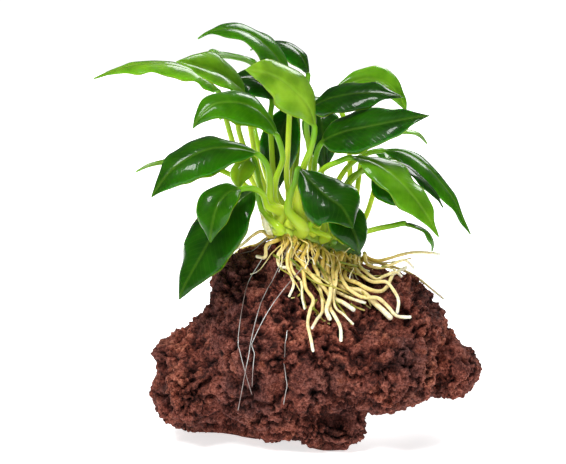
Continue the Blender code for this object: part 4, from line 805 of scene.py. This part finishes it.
def stone_form():
    """Crumbled scoria: lumps, grains, burst gas pores and cracks along the skin's own normal."""
    tree, node, given = new_form("scoria_skin", {
        "Lump size": 0.008, "Lump height": 0.0046, "Grain size": 0.0026, "Grain height": 0.0019,
        "Pore spacing": 0.0058, "Pore depth": 0.003, "Small pore spacing": 0.0029,
        "Small pore depth": 0.0013, "Crack spacing": 0.013, "Crack depth": 0.0026, "Rest height": 0.002})
    place = node("GeometryNodeInputPosition")

    # A noise runs about half a unit either way of its middle, so it is doubled to its full height
    shapes = []
    for feature, detail, seed in (("Lump", 6, 1.7), ("Grain", 3, 8.3)):
        half = noise_relief(node, given, feature, STONE_NOISE_MIDDLE,
                            {"Detail": detail, "Roughness": 0.66, "W": seed}, **NOISE_4D)
        shapes.append(node("Math", [half, 2], operation="MULTIPLY"))

    warp = node("TexNoise", {"Vector": place, "Scale": per(4), "Detail": 2}, output="Color")
    shift = node("VectorMath", [warp, PORE_WARP], operation="SCALE")
    warped = node("VectorMath", [place, shift], operation="ADD")
    hollows = []
    for pore, closed_share in (("Pore", 0.55), ("Small pore", 0.45)):
        scale = node("Math", [1, given[pore + " spacing"]], operation="DIVIDE")
        distance, colour, _ = node("TexVoronoi", {"Vector": warped, "Scale": scale}).node.outputs[:3]
        well = node("MapRange", [distance, PORE_FLOOR, PORE_RIM, 1, 0], **SMOOTH)
        is_open = node("Math", [node("SeparateXYZ", [colour]), closed_share], operation="GREATER_THAN")
        hollows.append(node("Math", [well, is_open], operation="MULTIPLY"))
    scale = node("Math", [1, given["Crack spacing"]], operation="DIVIDE")
    split = node("TexNoise", {"Vector": place, "Scale": scale, "Detail": 5, "Roughness": 0.6, "W": 5.5},
                 **NOISE_4D)
    beside = node("Math", [node("Math", [split, 0.5], operation="SUBTRACT")], operation="ABSOLUTE")
    hollows.append(node("MapRange", [beside, 0, CRACK_EDGE, 1, 0], **SMOOTH))
    pore, small_pore, crack = hollows
    sinks = [node("Math", [hollow, given[kind + " depth"]], operation="MULTIPLY")
             for kind, hollow in (("Pore", pore), ("Small pore", small_pore), ("Crack", crack))]
    raised = node("Math", shapes, operation="ADD")
    pitted = node("Math", sinks[:2], operation="ADD")
    sunk = node("Math", [pitted, sinks[2]], operation="ADD")
    lift = node("Math", [raised, sunk], operation="SUBTRACT")

    # The rest face stays flat, and the skin comes free of it over the rest height
    height = node("SeparateXYZ", [place], output="Z")
    free = node("MapRange", [height, REST_SKIN, given["Rest height"]], **SMOOTH)
    held = node("Math", [lift, free], operation="MULTIPLY")

    # Painted shade for the material: how dark it makes a place, pores most, then dips between lumps, then
    # cracks
    deep = node("Math", [pore, small_pore], operation="MAXIMUM")
    low = node("MapRange", [shapes[0], *DIP_HEIGHTS, 0, 0.85])
    crack_shade = node("Math", [crack, 0.7], operation="MULTIPLY")
    lower = node("Math", [crack_shade, low], operation="MAXIMUM")
    painted_hollow_shade = node("Math", [deep, lower], operation="MAXIMUM")
    softened_hollow_shade = node("Math", [painted_hollow_shade, 0.88], operation="MULTIPLY")
    moved = pushed_out(node, given["Geometry"], held)
    marked = node("GeometryNodeStoreNamedAttribute", {"Geometry": moved, "Name": "hollow",
                                                      "Value": softened_hollow_shade},
                  data_type="FLOAT", domain="POINT")
    return close_form(tree, node, given, marked)


def cord_form():
    """A living cord along a path of edges: its radius and share are read from the path's points."""
    tree, node, given = new_form("cord_along_path", {"Sides": 12, "Wobble size": 0.003,
                                                     "Wobble height": CORD_WOBBLE})
    path = node("GeometryNodeMeshToCurve", [given["Geometry"]])
    radius = node("GeometryNodeInputNamedAttribute", ["radius_along"], data_type="FLOAT")
    ring = node("GeometryNodeCurvePrimitiveCircle", {"Resolution": given["Sides"], "Radius": 1.0})
    skin = node("GeometryNodeCurveToMesh", {"Curve": path, "Profile Curve": ring, "Scale": radius,
                                            "Fill Caps": True})
    wobble = noise_relief(node, given, "Wobble", 0.5, {"Detail": 2})
    return close_form(tree, node, given, pushed_out(node, skin, wobble))


def stem_form():
    """A creeping stem's skin: low knobs where old leaves and roots broke away."""
    tree, node, given = new_form("stem_skin", {"Knob size": 0.0032, "Knob height": 0.0009})
    knobs = noise_relief(node, given, "Knob", 0.42, {"Detail": 3})
    return close_form(tree, node, given, pushed_out(node, given["Geometry"], knobs))


def farthest(start):
    """The vertex at the longest walk along the edges from a starting vertex."""
    distances = {start.index: 0.0}
    queue = [(0.0, start.index, start)]
    while queue:
        distance, _, vert = heapq.heappop(queue)
        if distance > distances[vert.index]:
            continue
        last = vert
        for edge in vert.link_edges:
            other = edge.other_vert(vert)
            reached = distance + edge.calc_length()
            if reached < distances.get(other.index, math.inf):
                distances[other.index] = reached
                heapq.heappush(queue, (reached, other.index, other))
    return last


def flat_patch(face):
    """The vertices of the flat patch that a face belongs to."""
    patch, queue = {face}, [face]
    while queue:
        for edge in queue.pop().edges:
            for other in edge.link_faces:
                if other not in patch and other.normal.dot(face.normal) > CAP_FLATNESS:
                    patch.add(other)
                    queue.append(other)
    return {vert for member in patch for vert in member.verts}


def centreline(node, start_near):
    """Ring centres and radii of a solid cord, in millimetres, from the end that is nearest to a tree."""
    mesh = merged_mesh(node)
    mesh.normal_update()
    mesh.verts.ensure_lookup_table()
    mesh.verts.index_update()
    end = farthest(farthest(mesh.verts[0]))
    patches = [flat_patch(face) for face in end.link_faces]
    cap = min(patches, key=lambda patch: max((vert.co - end.co).length for vert in patch))
    rings, seen = [list(cap)], set(cap)
    while rings[-1]:
        ring = {edge.other_vert(vert) for vert in rings[-1] for edge in vert.link_edges} - seen
        seen |= ring
        rings.append(list(ring))
    rings.pop()
    centres = np.array([np.mean([vert.co[:] for vert in ring], axis=0) for ring in rings]) * 1000
    radii = np.array([np.mean([(vert.co * 1000 - Vector(centre)).length for vert in ring])
                      for ring, centre in zip(rings, centres)])
    mesh.free()
    ends = [start_near.find_nearest(Vector(mm(centres[side])))[3] for side in (0, -1)]
    return (centres, radii) if ends[0] <= ends[1] else (centres[::-1], radii[::-1])


def rounded_path(centres, radii, step=CORD_STEP_MM):
    """A dense smooth path through ring centres, its radius easing to a rounded point at both ends."""
    curve = smooth_curve(centres)
    length = arc_lengths(curve)[-1]
    shares = np.linspace(0, 1, max(6, round(length / step) + 1))
    start, end = radii[0] / length, radii[-1] / length
    inner = shares[(shares > start) & (shares < 1 - end)]
    rounding = np.array(TIP_ROUNDING)
    shares = np.concatenate([rounding * start, inner, 1 - rounding[::-1] * end])
    width = np.interp(shares, arc_lengths(curve)[::CURVE_STEPS] / length, radii)
    ease = np.ones(len(shares))
    for index, place in enumerate(TIP_ROUNDING):
        ease[[index, -1 - index]] = max(0.12, math.sqrt(1 - (1 - place) ** 2))
    return along(curve, shares), width * ease, shares


def add_cords(name, paths, finish, slot, *nodes, sides, wobble=CORD_WOBBLE):
    """Put cords along one or several (points, radii, shares) paths in the scene, as one piece."""
    vertices, edges, radii, shares = [], [], [], []
    for points, widths, places in paths:
        first = len(vertices)
        vertices += [tuple(mm(point)) for point in points]
        edges += [(first + i, first + i + 1) for i in range(len(points) - 1)]
        radii += list(mm(widths))
        shares += list(places)
    source = bpy.data.meshes.new(name + "_path")
    source.from_pydata(vertices, edges, [])
    paint(source, "radius_along", radii)
    paint(source, "share", shares)
    tree = bpy.data.node_groups.get("cord_along_path") or cord_form()
    made = baked(source, tree, {"Sides": sides, "Wobble height": wobble, "Material": finish})
    mesh = bmesh.new()
    mesh.from_mesh(made)
    return add_piece(name, as_data(mesh, made), finish, slot, *nodes)


def photo_ray(pixel_x, pixel_y):
    """Where a pixel of the photograph looks from and towards, in millimetres."""
    eye = np.array(CAMERA_EYE)
    ahead = unit(np.array(CAMERA_TARGET) - eye)
    right = unit(np.cross(ahead, (0, 0, 1)))
    up = np.cross(right, ahead)
    scale = SENSOR_MM / LENS_MM / PHOTO_WIDTH
    way = ahead + right * (pixel_x - PHOTO_WIDTH / 2) * scale - up * (pixel_y - PHOTO_HEIGHT / 2) * scale
    return eye, unit(way)


def tree_of(objects):
    """One search tree over the finished meshes of several objects."""
    vertices, faces = [], []
    for piece in objects:
        first = len(vertices)
        vertices += [vertex.co[:] for vertex in piece.data.vertices]
        faces += [[first + index for index in face.vertices] for face in piece.data.polygons]
    return BVHTree.FromPolygons(vertices, faces)


def nearest(ground, place):
    """The nearest point of a skin, in millimetres, and the skin's normal there."""
    hit, normal, _, _ = ground.find_nearest(Vector(mm(place)))
    return in_mm(hit), np.array(normal)


def laid_route(pixels, radius, ground):
    """A route by pixels of the photograph, laid on whatever those pixels show."""
    points = []
    for pixel in pixels:
        eye, way = photo_ray(*pixel)
        hit, normal, _, _ = ground.ray_cast(Vector(mm(eye)), Vector(way))
        if hit is None:
            depth = points[-1][1] if points else 0.0
            points.append(eye + way * (depth - eye[1]) / way[1])
        else:
            points.append(in_mm(hit) + np.array(normal) * radius * LAID_HEIGHT)
    return points


def wandering_route(start, heading, length, radius, ground, random):
    """A rootlet's route: it drops from the stem, then creeps down the stone with small random turns."""
    points = [start, start + heading * ROOTLET_STRIDE]
    for _ in range(int(length / ROOTLET_STRIDE)):
        heading = unit(heading + random.normal(0, ROOTLET_TURN, 3) + ROOTLET_DRIFT)
        place = points[-1] + heading * ROOTLET_STRIDE
        skin, normal = nearest(ground, place)
        if (place - skin).dot(normal) < radius + 2 * ROOTLET_CLEARANCE:
            place = skin + normal * (radius + ROOTLET_CLEARANCE)
            heading = unit(heading - normal * min(0, heading.dot(normal)))
        if np.linalg.norm(place - points[-1]) > 0.3 * ROOTLET_STRIDE:
            points.append(place)
    return points


def taut_path(points, ground):
    """A line pulled straight between its ends over whatever it runs across."""
    path = np.array(points, float)
    rest = LINE_RADIUS + LINE_CLEARANCE_MM
    for _ in range(TAUT_PASSES):
        path[1:-1] = 0.5 * path[1:-1] + 0.25 * (path[:-2] + path[2:])
        for index, place in enumerate(path):
            skin, normal = nearest(ground, place)
            offset = place - skin
            if math.copysign(np.linalg.norm(offset), offset.dot(normal)) < rest:
                path[index] = skin + normal * rest
    return path


class AnubiasStone(bpy.types.PropertyGroup):
    """Sizes of the stone's worked skin."""

    grid: FloatProperty(name="Grid", description="Size of the grid that the stone's skin is cut on",
                        default=0.00072, min=0.0004, unit="LENGTH")
    lump_height: FloatProperty(name="Lump height", description="How far lumps stand out of the skin",
                               default=0.0046, min=0.0, unit="LENGTH")
    pore_depth: FloatProperty(name="Pore depth", description="Depth of the larger gas pores",
                              default=0.003, min=0.0, unit="LENGTH")


class AnubiasLeaves(bpy.types.PropertyGroup):
    """Form and finish of the leaves."""

    ripple: FloatProperty(name="Ripple", description="Scale of the waves along the leaf margins",
                          default=1.0, min=0.0, max=3.0, subtype="FACTOR")
    vein_relief: FloatProperty(name="Vein relief", description="Strength of the veins' relief",
                               default=0.45, min=0.0, max=1.0, subtype="FACTOR")


class AnubiasRoots(bpy.types.PropertyGroup):
    """Number and colour of the roots."""

    rootlets: IntProperty(name="Rootlets", description="Thin side roots that creep down the stone",
                          default=80, min=0, max=200)
    seed: IntProperty(name="Seed", description="Start of the random turns of the rootlets", default=7)


class AnubiasStage(bpy.types.PropertyGroup):
    """Floor and light round the object."""

    floor_size: FloatProperty(name="Floor size", description="Side of the pale floor", default=6.0,
                              min=1.0, unit="LENGTH")
    backdrop: FloatVectorProperty(name="Backdrop", description="Colour behind the object",
                                  default=linear("#FFFFFF")[:3], size=3, subtype="COLOR", min=0.0,
                                  max=1.0)


class ANUBIAS_OT_stone(bpy.types.Operator):
    """Work the lava stone's skin into lumps, grains and pores"""

    bl_idname = "anubias.stone"
    bl_label = "Lava stone"

    def execute(self, context):
        sizes = context.scene.anubias_stone
        finish = lava_stone_material()
        grid = sizes.grid * 1
        data = baked(merged_copy("lava_stone"), stone_form(),
                     {"Lump height": sizes.lump_height, "Pore depth": sizes.pore_depth,
                      "Material": finish}, remesh=grid, smoothing=STONE_EASING)
        add_piece("scoria_stone", data, finish, "lava_stone", "lava_stone")
        return {"FINISHED"}


class ANUBIAS_OT_stem(bpy.types.Operator):
    """Finish the creeping stem, its young bud and the dry scale at its foot"""

    bl_idname = "anubias.stem"
    bl_label = "Creeping stem"

    def execute(self, context):
        finish = stem_material()
        data = baked(merged_copy("rhizome"), stem_form(), {"Material": finish}, remesh=STEM_GRID,
                     smoothing=STEM_EASING)
        stem = add_piece("creeping_stem", data, finish, "stem", "rhizome")
        bud = rounded_path(*centreline("young_bud", tree_of([stem])), step=0.3)
        add_cords("leaf_bud", [bud], finish, "stem", "young_bud", sides=18)
        add_piece("dry_sheath", sheath_scale(), dry_sheath_material(), "stem")
        return {"FINISHED"}


class ANUBIAS_OT_leaves(bpy.types.Operator):
    """Grow each leaf, stalk and blade in one piece"""

    bl_idname = "anubias.leaves"
    bl_label = "Leaves"

    def execute(self, context):
        settings = context.scene.anubias_leaves
        finish = leaf_material(settings)
        for leaf in LEAVES:
            rings, spots, blade, face = leaf_surface(leaf, settings)
            data = lofted_mesh(leaf.name, rings)
            paint(data, "spot", [np.stack(spot, axis=1) for spot in spots], "FLOAT_VECTOR")
            paint(data, "blade", np.repeat(blade, len(face)))
            paint(data, "under", np.tile(np.where(face < 0, 1.0, 0.0), len(rings)))
            paint(data, "youth", np.full(len(data.vertices), leaf.youth))
            slot = "young_leaf" if leaf.youth > YOUNG_ABOVE else "leaf"
            add_piece("waxy_" + leaf.name, data, finish, "old_leaf" if leaf.youth < OLD_BELOW else slot,
                      leaf.name)
        return {"FINISHED"}


class ANUBIAS_OT_roots(bpy.types.Operator):
    """Lay the cord-like roots and the finer ones between them"""

    bl_idname = "anubias.roots"
    bl_label = "Roots"

    def execute(self, context):
        settings = context.scene.anubias_roots
        stem = tree_of([bpy.data.objects["creeping_stem"]])
        cream = root_material("cream root, live", [(0.0, "#94902A"), (0.14, "#CDB046"), (0.38, "#E8D07C"),
                                                   (0.8, "#F3E4AC"), (1.0, "#FCF9E4")])
        olive = root_material("olive root, older", [(0.0, "#6E8420"), (0.4, "#A9A03C"), (1.0, "#D8CA7C")])
        laid = [bpy.data.objects["scoria_stone"]]
        for name in sorted(node for node in NODES if node.startswith("root_")):
            path = rounded_path(*centreline(name, stem))
            laid.append(add_cords("cord_" + name, [path], cream, "root", name, sides=14,
                                  wobble=ROOT_WOBBLE))
        ground = tree_of(laid)
        traced = []
        for radius, pixels in FINE_ROOTS:
            route = laid_route(pixels, radius, ground)
            radii = np.linspace(radius, radius * FINE_ROOT_TAPER, len(route))
            traced.append(rounded_path(route, radii, step=0.8))
        add_cords("fine_roots_front", traced, olive, "root", sides=9)
        stone = tree_of(laid[:1])
        random = np.random.default_rng(settings.seed)
        crept = []
        for _ in range(settings.rootlets):
            radius = random.uniform(*ROOTLET_RADII)
            start, outward = stem_seat("A", random.uniform(*ROOTLET_STATIONS),
                                       random.uniform(*ROOTLET_ANGLES), -ROOTLET_SINK)
            heading = unit(outward + np.array([random.uniform(-0.5, 0.9), 0, -0.6]))
            route = wandering_route(start, heading, random.uniform(*ROOTLET_LENGTHS), radius, stone, random)
            radii = np.linspace(radius, radius * ROOTLET_TAPER, len(route))
            crept.append(rounded_path(route, radii, step=0.9))
        add_cords("rootlets", crept, cream, "root", sides=7)
        return {"FINISHED"}


class ANUBIAS_OT_lines(bpy.types.Operator):
    """Run the nylon line that ties the stem to the stone"""

    bl_idname = "anubias.lines"
    bl_label = "Tie lines"

    def execute(self, context):
        finish = line_material()
        ground = tree_of([bpy.data.objects["scoria_stone"], bpy.data.objects["creeping_stem"]])
        routes = {name: centreline(name, ground) for name in sorted(NODES) if name.startswith("tie_line_")}
        strand = laid_route(LOOSE_STRAND, LINE_RADIUS, ground)
        routes["loose_strand"] = (strand, np.full(len(strand), LINE_RADIUS))
        for name, route in routes.items():
            path, widths, shares = rounded_path(*route, step=1.0)
            solids = [name] if name in NODES else []
            add_cords("nylon_" + name, [(taut_path(path, ground), widths, shares)], finish, "line", *solids,
                      sides=8, wobble=0.0)
        return {"FINISHED"}


class ANUBIAS_OT_stage(bpy.types.Operator):
    """Set the pale floor, the soft light and the camera"""

    bl_idname = "anubias.stage"
    bl_label = "Stage"

    def execute(self, context):
        settings = context.scene.anubias_stage
        half = settings.floor_size / 2
        data = bpy.data.meshes.new("floor")
        data.from_pydata([(-half, -half, 0), (half, -half, 0), (half, half, 0), (-half, half, 0)], [],
                         [(0, 1, 2, 3)])
        floor = bpy.data.objects.new("floor", data)
        floor.location = (0, 0, -FLOOR_DROP)
        data.materials.append(floor_material())
        context.scene.collection.objects.link(floor)

        # Even studio light: bright behind the object, dimmer for what the leaves mirror and receive
        world = bpy.data.worlds.new("studio")
        world.use_nodes = True
        context.scene.world = world
        tree = world.node_tree
        tree.nodes.clear()
        node = partial(add_node, tree)
        seen = node("Background", [(*settings.backdrop, 1), 1.1])
        fill = node("Background", ["#F6F8FA", 0.38])
        mirrored = node("Background", ["#E9F1F6", 0.08])
        ray = node("LightPath").node.outputs
        lit = node("MixShader", [ray["Is Glossy Ray"], fill, mirrored])
        mix = node("MixShader", [ray["Is Camera Ray"], lit, seen])
        tree.links.new(mix, tree.nodes.new("ShaderNodeOutputWorld").inputs[0])

        for name, aim, strength, spread in (("key_light", (-0.35, -0.6, 1.0), 3.1, 22),
                                            ("back_light", (0.5, 1.0, 0.9), 1.6, 30)):
            lamp = bpy.data.lights.new(name, "SUN")
            lamp.energy = strength
            lamp.angle = math.radians(spread)
            sun = bpy.data.objects.new(name, lamp)
            sun.rotation_euler = Vector(aim).to_track_quat("Z", "Y").to_euler()
            context.scene.collection.objects.link(sun)

        lens = bpy.data.cameras.new("photo_camera")
        lens.lens = LENS_MM
        lens.sensor_width = SENSOR_MM
        lens.clip_start, lens.clip_end = 0.01, 20.0
        camera = bpy.data.objects.new("photo_camera", lens)
        camera.location = mm(CAMERA_EYE)
        way = Vector(CAMERA_TARGET) - Vector(CAMERA_EYE)
        camera.rotation_euler = way.to_track_quat("-Z", "Y").to_euler()
        context.scene.collection.objects.link(camera)
        context.scene.camera = camera
        context.scene.view_settings.view_transform = "Standard"
        return {"FINISHED"}


class ANUBIAS_PT_panel(bpy.types.Panel):
    """Makers for each piece of the anubias on stone"""

    bl_idname = "ANUBIAS_PT_panel"
    bl_label = "Anubias on stone"
    bl_space_type = "VIEW_3D"
    bl_region_type = "UI"
    bl_category = "Anubias"

    def draw(self, context):
        for group in SETTINGS:
            settings = getattr(context.scene, group)
            box = self.layout.box()
            for name in settings.__annotations__:
                box.prop(settings, name)
        for operator in OPERATORS:
            self.layout.operator(operator.bl_idname)


SETTINGS = {"anubias_stone": AnubiasStone, "anubias_leaves": AnubiasLeaves,
            "anubias_roots": AnubiasRoots, "anubias_stage": AnubiasStage}
OPERATORS = (ANUBIAS_OT_stone, ANUBIAS_OT_stem, ANUBIAS_OT_leaves, ANUBIAS_OT_roots,
             ANUBIAS_OT_lines, ANUBIAS_OT_stage)


def register():
    for made in (*SETTINGS.values(), *OPERATORS, ANUBIAS_PT_panel):
        bpy.utils.register_class(made)
    for name, group in SETTINGS.items():
        setattr(bpy.types.Scene, name, PointerProperty(type=group))


def unregister():
    for name in SETTINGS:
        delattr(bpy.types.Scene, name)
    for made in (ANUBIAS_PT_panel, *reversed(OPERATORS), *SETTINGS.values()):
        bpy.utils.unregister_class(made)


def main():
    register()
    bpy.ops.anubias.stage()
    bpy.ops.anubias.stone()
    bpy.ops.anubias.stem()
    bpy.ops.anubias.leaves()
    bpy.ops.anubias.roots()
    bpy.ops.anubias.lines()


if __name__ == "__main__":
    main()
